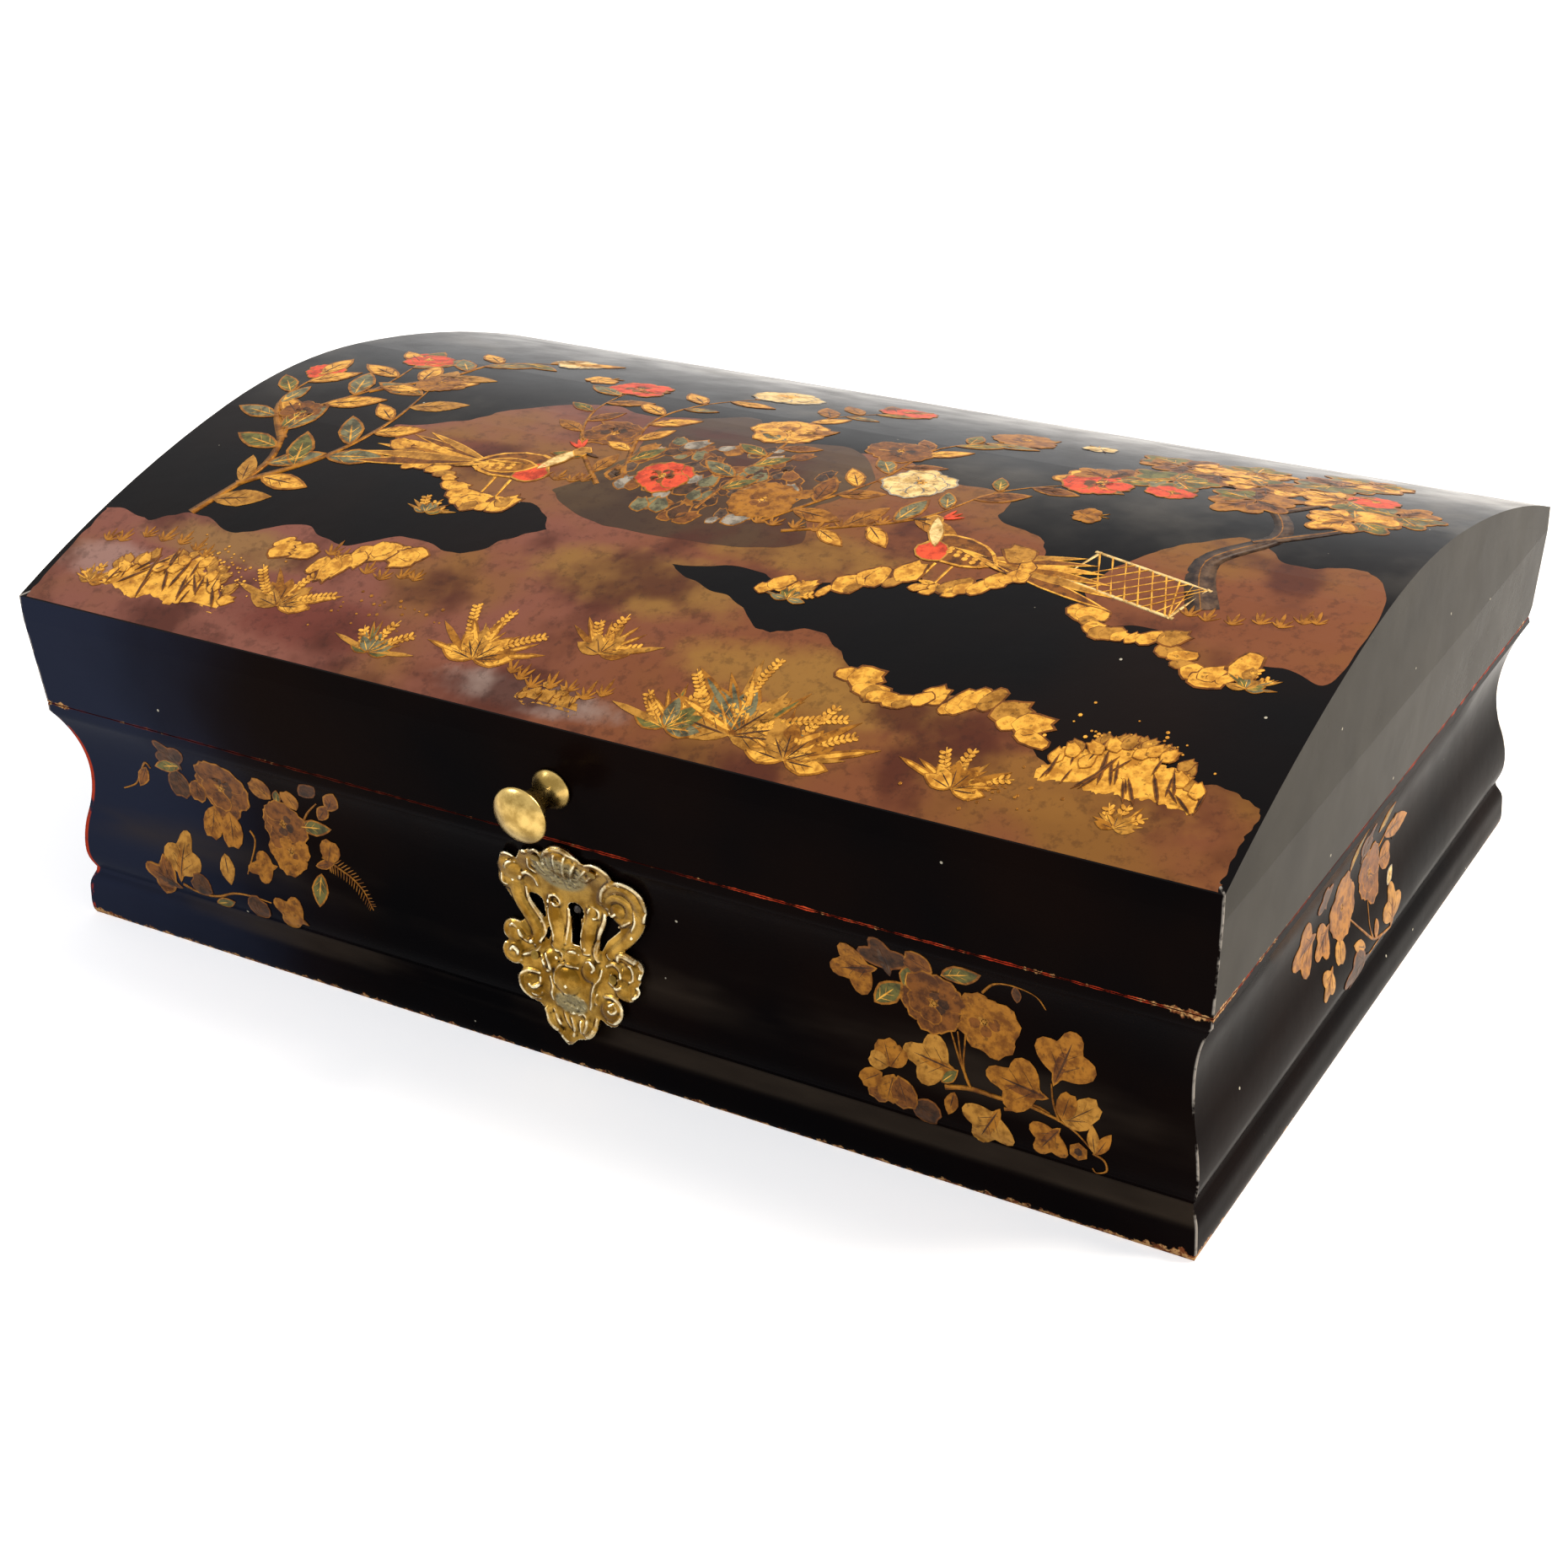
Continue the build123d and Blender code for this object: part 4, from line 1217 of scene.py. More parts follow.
    def crag(self, at: Point, size: Point, tint: Tint) -> None:
        """Paints a gold rock split by dark cracks, with loose lumps on its crown.

        Args:
            at: Middle of its foot.
            size: Its width and height in millimetres.
            tint: Its paint.
        """
        wide, tall = size
        crown = [
            (
                at[0] + wide * (0.5 - number / 10),
                at[1] + tall * (0.25 + 0.7 * math.sin(math.pi * number / 10)) * self.vary(0.72, 1.05),
            )
            for number in range(11)
        ]
        foot = [(at[0] + wide * (number / 8 - 0.5), at[1] + self.vary(-1.3, 1.3)) for number in range(9)]
        self.wash((*foot, *crown), self.palette[tint], 0.05)
        cracks = int(wide / 3.2)
        for number in range(cracks):
            share = (number + self.vary(0.1, 0.9)) / cracks
            x, height = at[0] + wide * (share - 0.5), tall * math.sin(math.pi * (0.08 + 0.84 * share))
            for _ in range(2):
                root = (x + self.vary(-1, 1), at[1] + height * self.vary(-0.1, 0.6))
                turn = 60 + 60 * share + self.vary(-30, 30)
                long = tall * self.vary(0.25, 0.6)
                self.put(Shape.BLADE, root, turn, long, Tint.UMBER, 1.1, layer=0.06)
            root = (x, at[1] + height * self.vary(0.35, 0.75))
            self.put(Shape.LUMP, root, self.vary(20, 150), 0.33 * tall, tint, 1.0, Tint.AMBER, layer=0.05)
        for number in range(int(wide / 2.2)):
            share = self.vary(0.02, 0.98)
            root = (at[0] + wide * (share - 0.5), at[1] + 0.8 * tall * math.sin(math.pi * (0.1 + 0.8 * share)))
            self.put(Shape.LUMP, root, self.vary(30, 150), 0.3 * tall, Tint.OCHRE, 1.0, Tint.COPPER)

    def dust(self, at: Point, spread: Point, count: int, tint: Tint) -> None:
        """Sprinkles gold dots round a place.

        Args:
            at: Middle of the place.
            spread: How widely the dots scatter in each direction.
            count: Number of dots.
            tint: Their paint.
        """
        for _ in range(count):
            place = (self.chance.gauss(at[0], spread[0]), self.chance.gauss(at[1], spread[1]))
            self.put(Shape.DOT, place, 90, self.dot * self.vary(0.6, 1.3), tint)

    def fringe(self, route: tuple[Point, ...], size: float, tint: Tint) -> None:
        """Paints a loose row of small grass tufts, each of five blades that fan out.

        Args:
            route: Points that the row follows.
            size: Length of a slanting blade.
            tint: Their paint.
        """
        for x, y in smooth(route, 3):
            y += self.vary(-1.2, 1.2)
            for turn in (35, 62, 90, 118, 145):
                long = size * (1.5 - abs(turn - 90) / 90) * self.vary(0.8, 1.2)
                self.put(Shape.BLADE, (x, y), self.turned(turn, 6), long, tint, 1.6)

    def wash(self, route: tuple[Point, ...], material: bpy.types.Material, lift: float) -> None:
        """Paints a flat patch with a smooth outline.

        Args:
            route: Corners of its outline.
            material: Its paint.
            lift: Height of its middle, in millimetres.
        """
        outline = [tuple(c + self.vary(-0.7, 0.7) for c in point) for point in ring(route, 7)]
        piece = drawn("wash", "NURBS", [outline], extrude=0.02 * MM, resolution_u=2)
        with editing(piece):
            bpy.ops.mesh.remove_doubles(threshold=1e-6)
            bpy.ops.mesh.normals_make_consistent(inside=False)
        piece.data.transform(Matrix.Translation((0, 0, lift * MM)))
        paint_with(piece, material)
        self.sheet.broad.append(piece)

    def bird(self, at: Point, size: float, way: int) -> None:
        """Paints a long-tailed garden bird with a gilt back, a red breast and a pale neck.

        Args:
            at: Middle of its body.
            size: Length of its body in millimetres.
            way: 1 where it faces right, -1 where it faces left.
        """
        gilt = Tint.GILT
        fan = (Tint.COPPER, Tint.OCHRE, Tint.AMBER, gilt, Tint.COPPER, Tint.OCHRE)
        marks = [(Shape.LEAF, -0.3, 0.02, 196 - 7 * k, 1.35 - 0.1 * k, fan[k], 0.24, gilt, 0.0) for k in range(6)]
        marks += [
            (Shape.PETAL, -0.48, -0.06, 14, 1.0, Tint.COPPER, 0.5, gilt, 0.06),
            (Shape.PETAL, 0.08, -0.16, 40, 0.44, Tint.VERMILION, 0.8, Tint.OCHRE, 0.08),
            (Shape.LEAF, 0.24, 0.02, 66, 0.56, Tint.STRAW, 0.62, Tint.OCHRE, 0.09),
            (Shape.PETAL, 0.25, 0.1, 194, 0.66, Tint.AMBER, 0.44, gilt, 0.1),
            (Shape.DOT, 0.45, 0.4, 70, 0.22, Tint.OCHRE, 0.9, gilt, 0.12),
            (Shape.BLADE, 0.5, 0.5, -14, 0.22, Tint.UMBER, 2.0, Tint.UMBER, 0.12),
        ]
        marks += [
            (Shape.LEAF, 0.1 - 0.1 * k, 0.1 - 0.03 * k, 188 + 5 * k, 0.4, gilt, 0.24, Tint.UMBER, 0.14)
            for k in range(4)
        ]
        marks += [
            (Shape.DOT, -0.32 + 0.1 * k, -0.1 + 0.035 * k - 0.06 * row, 90, 0.07, gilt, 1.0, gilt, 0.12)
            for k in range(5)
            for row in range(2)
        ]
        red = Tint.VERMILION
        marks += [(Shape.BLADE, 0.43, 0.55, turn, 0.22, red, 1.8, red, 0.1) for turn in (104, 128, 152)]
        for x in (-0.06, 0.12):
            foot = (at[0] + way * (x + 0.03) * size, at[1] - 0.5 * size)
            self.line(((at[0] + way * x * size, at[1] - 0.2 * size), foot), 1.1, 0.8, gilt, 2)
            marks += [(Shape.BLADE, x + 0.03, -0.5, turn, 0.15, gilt, 2.0, gilt, 0.0) for turn in (-30, 0, 200)]
        for shape, x, y, turn, long, tint, flat, rim, layer in marks:
            root = (at[0] + way * x * size, at[1] + y * size)
            self.put(shape, root, turn if way > 0 else 180 - turn, long * size, tint, flat, rim, layer)

    def butterfly(self, at: Point, turn: float, size: float, tint: Tint) -> None:
        """Paints a butterfly with spread wings.

        Args:
            at: Its middle.
            turn: Direction of its head, in degrees.
            size: Length of a wing.
            tint: Its paint.
        """
        for lean, long in ((48, 1.0), (-48, 1.0), (118, 0.7), (-118, 0.7)):
            self.leaf(at, turn + lean, size * long, tint, Shape.PETAL)
        self.put(Shape.BLADE, at, turn, size * 0.7, Tint.UMBER, 1.6)
        self.put(Shape.BLADE, at, turn + 180, size * 0.6, Tint.UMBER, 1.6)
        head = away(at, turn, size * 0.6)
        for lean in (-24, 24):
            self.put(Shape.BLADE, head, turn + lean, size * 0.6, Tint.GILT, 0.6)


# Sub-assemblies


class Carcase:
    """The wooden walls, the lid and the fittings that keep their own shapes, dressed in their finishes."""

    def dress(self) -> None:
        """Gives every carried-over node its finish."""
        slots = {part["node"]: part["material_slot"] for part in frame["record"]["subparts"]}
        black = JapannedBlack("japanned_black").build()
        painted = JapannedBlack("japanned_lid", top_gloss=0.06, painted=True).build()
        finishes = {
            "japanned_wood": black,
            "bare_wood": BareBeech().build(),
            "gilt_brass": DulledMetal("gilt_pins", "#9a7d3a", "#5e4a1e", 0.42).build(),
            "cast_brass": DulledMetal("cut_brass", "#b08a45", "#6f5327", 0.36, (1, 8, 1)).build(),
            "wrought_iron": DulledMetal("filed_iron", "#4a4642", "#1f1a17", 0.48, (8, 1, 1)).build(),
        }
        for name, node in frame["nodes"].items():
            finish = painted if name == "lid_dome_panel" else finishes[slots[name]]
            for slot in node.material_slots:
                slot.material = finish
        log.info("carcase: %d nodes dressed", len(frame["nodes"]))


@dataclass
class LidPicture:
    """The painted garden on the arched lid, in millimetres seen from above."""

    near_ground: tuple[Point, ...] = (
        (-164.6, -116), (-163, -116), (-110, -116), (-55, -116), (0, -116), (55, -116), (110, -116), (163, -116),
        (164.6, -116), (164.8, -110), (164.8, -100), (164.6, -93), (154, -89), (142, -94), (128, -90), (117, -94),
        (104, -84), (90, -80), (76, -86), (62, -80), (48, -70), (34, -74), (22, -66), (6, -62), (-10, -54), (-30, -52),
        (-44, -58), (-56, -70), (-74, -68), (-90, -76), (-106, -72), (-122, -80), (-138, -76), (-150, -82),
        (-164.6, -80), (-164.8, -90), (-164.8, -110),
    )
    far_ground: tuple[Point, ...] = (
        (-112, -24), (-100, -36), (-86, -38), (-70, -50), (-50, -46), (-34, -58), (-8, -60), (16, -54), (34, -56),
        (56, -44), (66, -46), (84, -32), (80, -20), (66, -14), (62, 0), (40, 2), (24, 12), (4, 8), (-22, 18),
        (-50, 10), (-66, 12), (-86, -2), (-94, -14),
    )
    right_ground: tuple[Point, ...] = (
        (98, -36), (108, -48), (122, -46), (136, -56), (152, -50), (164.8, -52), (164.8, -20), (156, -6), (140, -10),
        (126, 0), (112, -10), (104, -22),
    )
    shores: tuple[tuple[Point, ...], ...] = (
        ((-110, -26), (-98, -37), (-84, -39), (-70, -50), (-58, -48)),
        ((20, -56), (38, -55), (54, -46), (68, -46), (84, -34), (80, -22)),
        ((98, -38), (108, -50), (122, -48), (136, -57), (148, -54)),
        ((-60, -70), (-76, -69), (-90, -77), (-104, -74)),
        ((56, -76), (70, -84), (84, -83), (98, -80), (108, -86)),
    )
    rock: tuple[Point, ...] = (
        (-46, -34), (-30, -42), (-6, -42), (16, -36), (12, -22), (18, -6), (4, 12), (-14, 8), (-26, 22), (-40, 6),
        (-38, -14),
    )
    crowns: tuple[Point, ...] = (
        (86, 54), (98, 48), (78, 24), (92, 34), (112, 44), (150, 36), (142, 26), (126, 62), (130, 76), (134, 44),
        (116, 28), (104, 60),
    )
    drifts: tuple[tuple[float, float, float, float, str], ...] = (
        (-4, -66, 40, 13, "#7d5a2a"),
        (58, -86, 46, 11, "#86602c"),
        (118, -100, 42, 9, "#7a5224"),
        (-120, -84, 34, 8, "#7d5c34"),
        (-78, -102, 30, 10, "#5c2b22"),
        (-12, -108, 30, 6, "#86746a"),
        (-148, -98, 22, 8, "#8a6a60"),
        (30, -44, 40, 10, "#7c5828"),
        (-78, -30, 26, 8, "#5f3024"),
        (-40, 4, 40, 12, "#5a2f22"),
        (132, -34, 26, 12, "#6a3c24"),
    )

    def ground(self, brush: Painter) -> None:
        """Paints the earth, its gold shores and the rows of small grass tufts on it.

        Args:
            brush: Painter with the sheet that it goes on.
        """
        earth = PaintedEarth("earth_plum", drifts=self.drifts).build()
        brush.wash(self.far_ground, earth, 0.0)
        brush.wash(self.right_ground, earth, 0.0)
        brush.wash(self.near_ground, earth, 0.005)
        for route in self.shores:
            brush.bank(route, 9.5, Tint.GILT, 2.5)
        for route in (
            ((-156, -92), (-140, -88), (-124, -90)),
            ((-90, -80), (-76, -84), (-62, -82)),
            ((-18, -104), (-6, -106), (8, -104)),
            ((10, -36), (26, -34), (40, -28)),
            ((-70, -30), (-56, -34), (-44, -34)),
            ((126, -40), (142, -38), (154, -34)),
        ):
            brush.fringe(route, 3.6, Tint.AMBER)

    def spread(self, point: Point) -> Point:
        """Places a point of the rock group, which is drawn small, on the lid."""
        return (point[0] * 1.2 + 6, (point[1] + 38) * 1.12 - 44)

    def garden_rock(self, brush: Painter) -> None:
        """Paints the pierced garden rock with the peonies that grow round it.

        Args:
            brush: Painter with the sheet that it goes on.
        """
        stone = PaintedEarth("rock_umber", plum="#33251c", rust="#45301f", gold="#57442b").build()
        brush.wash(tuple(self.spread(point) for point in self.rock), stone, 0.02)
        facets = (Tint.BARK, Tint.UMBER, Tint.COPPER, Tint.ASH, Tint.SAGE, Tint.AMBER)
        for _ in range(110):
            reach, way = math.sqrt(brush.chance.random()), brush.vary(0, 2 * math.pi)
            at = self.spread((-14 + 24 * reach * math.cos(way), -18 + 21 * reach * math.sin(way)))
            turn, size = brush.vary(40, 140), brush.vary(4.5, 9.5)
            brush.put(Shape.LUMP, at, turn, size, brush.chance.choice(facets), 1.0, Tint.AMBER, -0.07)
        leaves = (Tint.SAGE, Tint.OLIVE, Tint.GILT, Tint.AMBER, Tint.COPPER)
        for route in (
            ((-38, -28), (-52, -12), (-60, 6), (-62, 26)),
            ((-34, -24), (-44, 4), (-42, 26), (-34, 46)),
            ((-12, -30), (-10, 4), (-14, 30), (-6, 54)),
            ((4, -30), (18, -4), (20, 24), (30, 44)),
            ((10, -32), (34, -18), (44, 2), (58, 16)),
        ):
            brush.bough(tuple(self.spread(point) for point in route), 1.6, 11.5, leaves, 4.8)
        for at, radius, tint, petals in (
            ((-62, 30), 8.5, Tint.VERMILION, 7),
            ((-33, 50), 9.5, Tint.STRAW, 8),
            ((-5, 58), 8.0, Tint.VERMILION, 7),
            ((30, 47), 9.0, Tint.AMBER, 8),
            ((60, 18), 8.5, Tint.VERMILION, 7),
            ((-48, -4), 8.0, Tint.COPPER, 7),
            ((-14, 16), 10.5, Tint.GILT, 9),
            ((14, 16), 8.5, Tint.COPPER, 8),
            ((27, -1), 9.0, Tint.STRAW, 8),
            ((0, -22), 8.5, Tint.AMBER, 8),
            ((-26, -20), 7.5, Tint.VERMILION, 7),
        ):
            brush.blossom(self.spread(at), radius * 1.12, tint, petals)
        brush.bird((-66, -33), 27.0, 1)
        brush.bird((64, -33), 25.0, -1)

    def tree(self, brush: Painter) -> None:
        """Paints the broad-leaved tree on the right bank and the lattice in front of it.

        Args:
            brush: Painter with the sheet that it goes on.
        """
        for route, thick in (
            (((128, -36), (121, -16), (131, 4), (122, 24), (106, 40), (88, 52)), 8.0),
            (((127, -2), (142, 14), (150, 34)), 4.4),
            (((124, 20), (132, 40), (124, 60), (130, 76)), 3.6),
            (((108, 38), (94, 34), (80, 24)), 2.6),
        ):
            brush.line(route, thick, 0.9, Tint.BARK, 6)
            brush.line(tuple((x - 0.5, y + 0.4) for x, y in route), 1.1, 0.4, Tint.AMBER, 6)
        leaves = (Tint.GILT, Tint.GILT, Tint.AMBER, Tint.OLIVE, Tint.SAGE, Tint.COPPER)
        for at in self.crowns:
            start = brush.vary(0, 90)
            for number in range(5):
                turn = start + 72 * number + brush.vary(-14, 14)
                brush.leaf(at, turn, brush.vary(11.0, 15.5), brush.chance.choice(leaves), Shape.LOBED)
        brush.blossom((140, 48), 7.5, Tint.VERMILION, 6)
        brush.blossom((96, 22), 6.5, Tint.VERMILION, 6)
        corner, across, up = Vector((92, -34)), Vector((30, -7)), Vector((4, 13))
        for number in range(9):
            share = number / 8
            for begin, end in (
                (corner + across * share, corner + across * min(1, share + 0.34) + up),
                (corner + across * share + up, corner + across * min(1, share + 0.34)),
            ):
                brush.line((tuple(begin), tuple(end)), 0.55, 0.55, Tint.GILT, 1)
        for begin, side in ((corner, across), (corner + up, across), (corner, up), (corner + across, up)):
            ends = (tuple(begin - side * 0.04), tuple(begin + side * 1.04))
            brush.line(ends, 1.1, 1.1, Tint.STRAW, 1)

    def shrubs(self, brush: Painter) -> None:
        """Paints the flowering shrub on the left.

        Args:
            brush: Painter with the sheet that it goes on.
        """
        leaves = (Tint.GILT, Tint.GILT, Tint.OCHRE, Tint.SAGE, Tint.OLIVE)
        for route in (
            ((-140, -76), (-134, -52), (-142, -28), (-132, -4), (-136, 20)),
            ((-136, -62), (-120, -44), (-114, -22), (-118, 2)),
            ((-138, -40), (-152, -24), (-154, -4)),
            ((-133, -8), (-120, 12), (-118, 34), (-104, 48)),
        ):
            brush.bough(route, 3.0, 14.5, leaves, 5.4)
        for at, radius, tint in (
            ((-136, 24), 8.5, Tint.VERMILION),
            ((-118, 6), 8.0, Tint.AMBER),
            ((-155, 0), 6.5, Tint.VERMILION),
            ((-102, 50), 7.5, Tint.STRAW),
            ((-142, -26), 7.0, Tint.COPPER),
        ):
            brush.blossom(at, radius, tint)

    def foreground(self, brush: Painter) -> None:
        """Paints the plants, tufts and gold rocks along the front.

        Args:
            brush: Painter with the sheet that it goes on.
        """
        gold = (Tint.GILT, Tint.GILT, Tint.OCHRE, Tint.AMBER)
        green = (Tint.GILT, Tint.SAGE, Tint.OLIVE, Tint.OCHRE, Tint.SAGE)
        brush.tuft((44, -106), 32.0, green)
        brush.tuft((60, -109), 22.0, gold)
        brush.tuft((28, -108), 19.0, green)
        for at, size, tints in (
            ((-92, -100), 19.0, gold),
            ((-58, -107), 13.0, green),
            ((-30, -102), 21.0, gold),
            ((0, -92), 15.0, gold),
            ((100, -106), 16.0, gold),
            ((138, -106), 9.0, gold),
            ((-150, -106), 8.0, gold),
            ((34, -62), 9.5, green),
            ((-76, -58), 8.5, green),
            ((148, -60), 9.0, green),
        ):
            brush.tuft(at, size, tints)
        brush.crag((-128, -106), (40, 17), Tint.GILT)
        brush.crag((134, -98), (36, 17), Tint.GILT)
        brush.crag((-4, -110), (17, 7), Tint.OCHRE)
        brush.dust((-118, -94), (10, 4), 90, Tint.GILT)
        brush.dust((132, -84), (8, 3), 60, Tint.GILT)
        brush.dust((106, -104), (9, 2.5), 50, Tint.AMBER)
        brush.dust((-60, -96), (10, 3), 30, Tint.AMBER)
        brush.butterfly((-84, 34), 60, 6.5, Tint.GILT)
        brush.butterfly((62, 56), 130, 6.0, Tint.STRAW)
        brush.butterfly((84, -4), 20, 5.5, Tint.AMBER)

    def build(self, palette: Palette, motifs: dict[Shape, Motif]) -> None:
        """Paints the picture sheet by sheet and lays each on the lid.

        Args:
            palette: The paints.
            motifs: The shapes, modelled flat.
        """
        for number, (name, paint) in enumerate(
            (
                ("lid_painted_earth", self.ground),
                ("lid_painted_shrub", self.shrubs),
                ("lid_painted_peonies", self.garden_rock),
                ("lid_painted_tree", self.tree),
                ("lid_painted_foreground", self.foreground),
            )
        ):
            brush = Painter(Sheet(Side.LID, "lid_dome_panel", 6.0, False), palette, motifs, random.Random(11 + number))
            paint(brush)
            brush.sheet.lay(name, "lid", palette)


Mark = tuple[str, float, float, float, float, str, float]


@dataclass
class BaseSprays:
    """The gilt flower sprays on the walls of the base.

    Each mark is a shape, its stalk end, its direction, its length, its paint and its width factor; each stem is its
    thickness and its route.
    """

    right_marks: tuple[Mark, ...] = (
        ("LOBED", 83, 51.5, 196, 13.5, "AMBER", 1.0), ("LOBED", 86, 50, 98, 13, "UMBER", 0.95),
        ("PETAL", 97.5, 55, 152, 8.5, "COPPER", 1.0), ("LEAF", 99.5, 55, 20, 10, "OLIVE", 1.2),
        ("LEAF", 89.5, 48, 75, 6.5, "OLIVE", 1.2), ("LEAF", 81.5, 41.5, 45, 9.5, "OLIVE", 1.3),
        ("LOBED", 127, 33.5, 72, 16.5, "AMBER", 0.85), ("LOBED", 126.5, 30.5, 172, 16.5, "AMBER", 0.72),
        ("PETAL", 130, 26.5, 78, 7.5, "AMBER", 0.7), ("PETAL", 131, 26.5, 38, 10.5, "OCHRE", 0.6),
        ("PETAL", 130, 26.5, 12, 8, "OCHRE", 0.6), ("LOBED", 103.5, 30.5, 172, 14.5, "OCHRE", 0.8),
        ("LEAF", 100, 27, 45, 4.8, "OLIVE", 1.3), ("PETAL", 87, 27, 112, 7.5, "AMBER", 0.9),
        ("PETAL", 87, 27, 62, 6.5, "AMBER", 0.8), ("PETAL", 86.5, 27, 165, 6, "OCHRE", 0.8),
        ("PETAL", 85, 25, 215, 7.5, "AMBER", 0.7), ("PETAL", 88, 25.5, 258, 9, "AMBER", 0.75),
        ("PETAL", 89, 25.5, 290, 10, "COPPER", 0.75), ("PETAL", 93, 20, 330, 8.5, "UMBER", 0.95),
        ("PETAL", 87, 24, 238, 9, "COPPER", 0.7), ("LEAF", 103.5, 25.5, 258, 5.6, "AMBER", 1.3),
        ("LOBED", 115, 24.8, 242, 13, "OCHRE", 1.0), ("LOBED", 130, 24.5, 235, 10.5, "AMBER", 0.95),
        ("DOT", 134.5, 17.4, 90, 4.8, "AMBER", 1.0), ("DOT", 134.5, 18.6, 90, 2.4, "UMBER", 1.0),
        ("LEAF", 138.5, 20.5, 100, 6.2, "OCHRE", 1.0), ("LEAF", 138.8, 20.5, 62, 6, "AMBER", 1.0),
        ("LEAF", 118, 52.8, 85, 5, "UMBER", 1.0),
    )
    right_flowers: tuple = (((97, 45.8), 9.0, "COPPER", 8), ((109.5, 44.6), 9.2, "AMBER", 8))
    right_stems: tuple = (
        (1.3, ((101, 26), (107, 27.4), (115, 27.3), (121, 27.6), (126.5, 26.8), (130, 26), (134, 24.3), (138, 21))),
        (1.0, ((116, 25), (120, 26.2), (123, 28), (127, 27.2))),
        (0.8, ((107.5, 27.4), (103.5, 34), (101, 40))),
        (0.8, ((107.5, 27.4), (104.4, 33), (102.8, 40))),
        (0.8, ((107.5, 27.4), (105, 32), (104.8, 40))),
        (0.8, ((129.5, 26), (127.5, 30), (126.5, 34))),
        (0.7, ((109.5, 53), (113, 57), (118, 58.2), (123, 56.8), (125, 53.2))),
        (0.7, ((138, 20.5), (140.8, 19.4), (141.2, 16.6), (138.6, 14.8), (137.8, 16.2))),
    )
    left_marks: tuple[Mark, ...] = (
        ("LEAF", -137.5, 50, 240, 7, "COPPER", 1.1), ("PETAL", -126.5, 52.5, 268, 10.5, "UMBER", 0.75),
        ("LOBED", -124, 52.5, 118, 11, "UMBER", 1.0), ("LEAF", -124, 54, 195, 9, "OLIVE", 1.0),
        ("PETAL", -120, 50.5, 262, 8, "COPPER", 0.75), ("PETAL", -115.5, 43.5, 260, 11, "AMBER", 0.65),
        ("PETAL", -110.5, 43, 275, 11.5, "AMBER", 0.65), ("PETAL", -94.5, 51, 135, 8, "AMBER", 1.0),
        ("PETAL", -86.5, 49.5, 112, 7, "AMBER", 0.85), ("LEAF", -93, 50, 70, 4.6, "OLIVE", 1.2),
        ("LEAF", -83.5, 55.5, 35, 8, "UMBER", 1.2), ("LEAF", -75.5, 52.5, 55, 8, "COPPER", 1.2),
        ("LEAF", -79.5, 48.5, 52, 6.4, "COPPER", 1.2), ("LEAF", -87, 44.5, 10, 10, "OLIVE", 1.0),
        ("PETAL", -78, 36.2, 78, 7.6, "AMBER", 0.9), ("LEAF", -82, 34.5, 20, 6, "COPPER", 0.9),
        ("LEAF", -80, 33, 268, 8, "OLIVE", 1.4), ("LOBED", -94.5, 31.5, 196, 10.5, "AMBER", 0.75),
        ("LOBED", -128.5, 18.5, 80, 16, "OCHRE", 0.75), ("LEAF", -112.6, 30.8, 285, 7.5, "OCHRE", 1.4),
        ("LOBED", -128.5, 16.5, 160, 13.5, "COPPER", 0.85), ("LEAF", -133, 19, 100, 6, "COPPER", 1.2),
        ("PETAL", -117.5, 18, 155, 8.5, "UMBER", 0.8), ("LEAF", -117.5, 14.6, 20, 7, "OLIVE", 1.0),
        ("PETAL", -103.5, 14.5, 62, 8, "UMBER", 1.0), ("LOBED", -85, 16.8, 155, 12.5, "AMBER", 0.8),
    )
    left_flowers: tuple = (
        ((-111.5, 50), 9.4, "COPPER", 8), ((-92, 44), 8.6, "COPPER", 8), ((-90, 36.5), 7.4, "AMBER", 7),
    )
    left_stems: tuple = (
        (0.9, ((-136, 50), (-137.5, 51.4), (-140.6, 47), (-143, 43.4), (-147.6, 41))),
        (0.9, ((-86, 44.5), (-83, 49.5), (-78.5, 54))),
        (0.8, ((-104, 39), (-102.4, 36.5), (-103.4, 31), (-104.6, 27))),
        (1.1, ((-128, 18), (-122, 16.6), (-116, 17.4), (-110, 20), (-104, 20.8), (-97, 20.6))),
        (0.7, ((-80, 37.4), (-75, 35.8), (-70, 34), (-66, 31.4), (-62.8, 27.4))),
    )
    side_marks: tuple[Mark, ...] = (
        ("LOBED", -34, 41.5, 184, 16, "AMBER", 0.85), ("LOBED", -25, 39.5, 205, 11.5, "AMBER", 0.9),
        ("LOBED", -26.5, 29, 222, 9.5, "OCHRE", 0.9), ("PETAL", -19.5, 33, 250, 7.5, "OCHRE", 0.9),
        ("PETAL", 10, 39, 352, 9.5, "AMBER", 0.8), ("LEAF", 13.5, 44.5, 352, 16, "AMBER", 0.75),
        ("LEAF", 13.5, 30.5, 30, 5.5, "STRAW", 1.1), ("LOBED", 15, 17.8, 88, 13, "OCHRE", 0.95),
        ("LEAF", 3.6, 26.4, 268, 5, "AMBER", 1.4), ("LEAF", -4.8, 22.6, 150, 7.6, "OCHRE", 1.0),
        ("LOBED", -1.5, 19.5, 182, 18, "UMBER", 0.55), ("LOBED", -28, 45, 120, 10, "UMBER", 0.8),
        ("LEAF", -12, 47, 75, 10, "OLIVE", 0.9), ("LOBED", -4, 45, 60, 11, "UMBER", 0.8),
        ("LEAF", 8, 48, 25, 9, "OLIVE", 0.9),
    )
    side_flowers: tuple = (((-16.5, 39.5), 9.0, "AMBER", 8), ((3, 39.2), 8.4, "COPPER", 8))
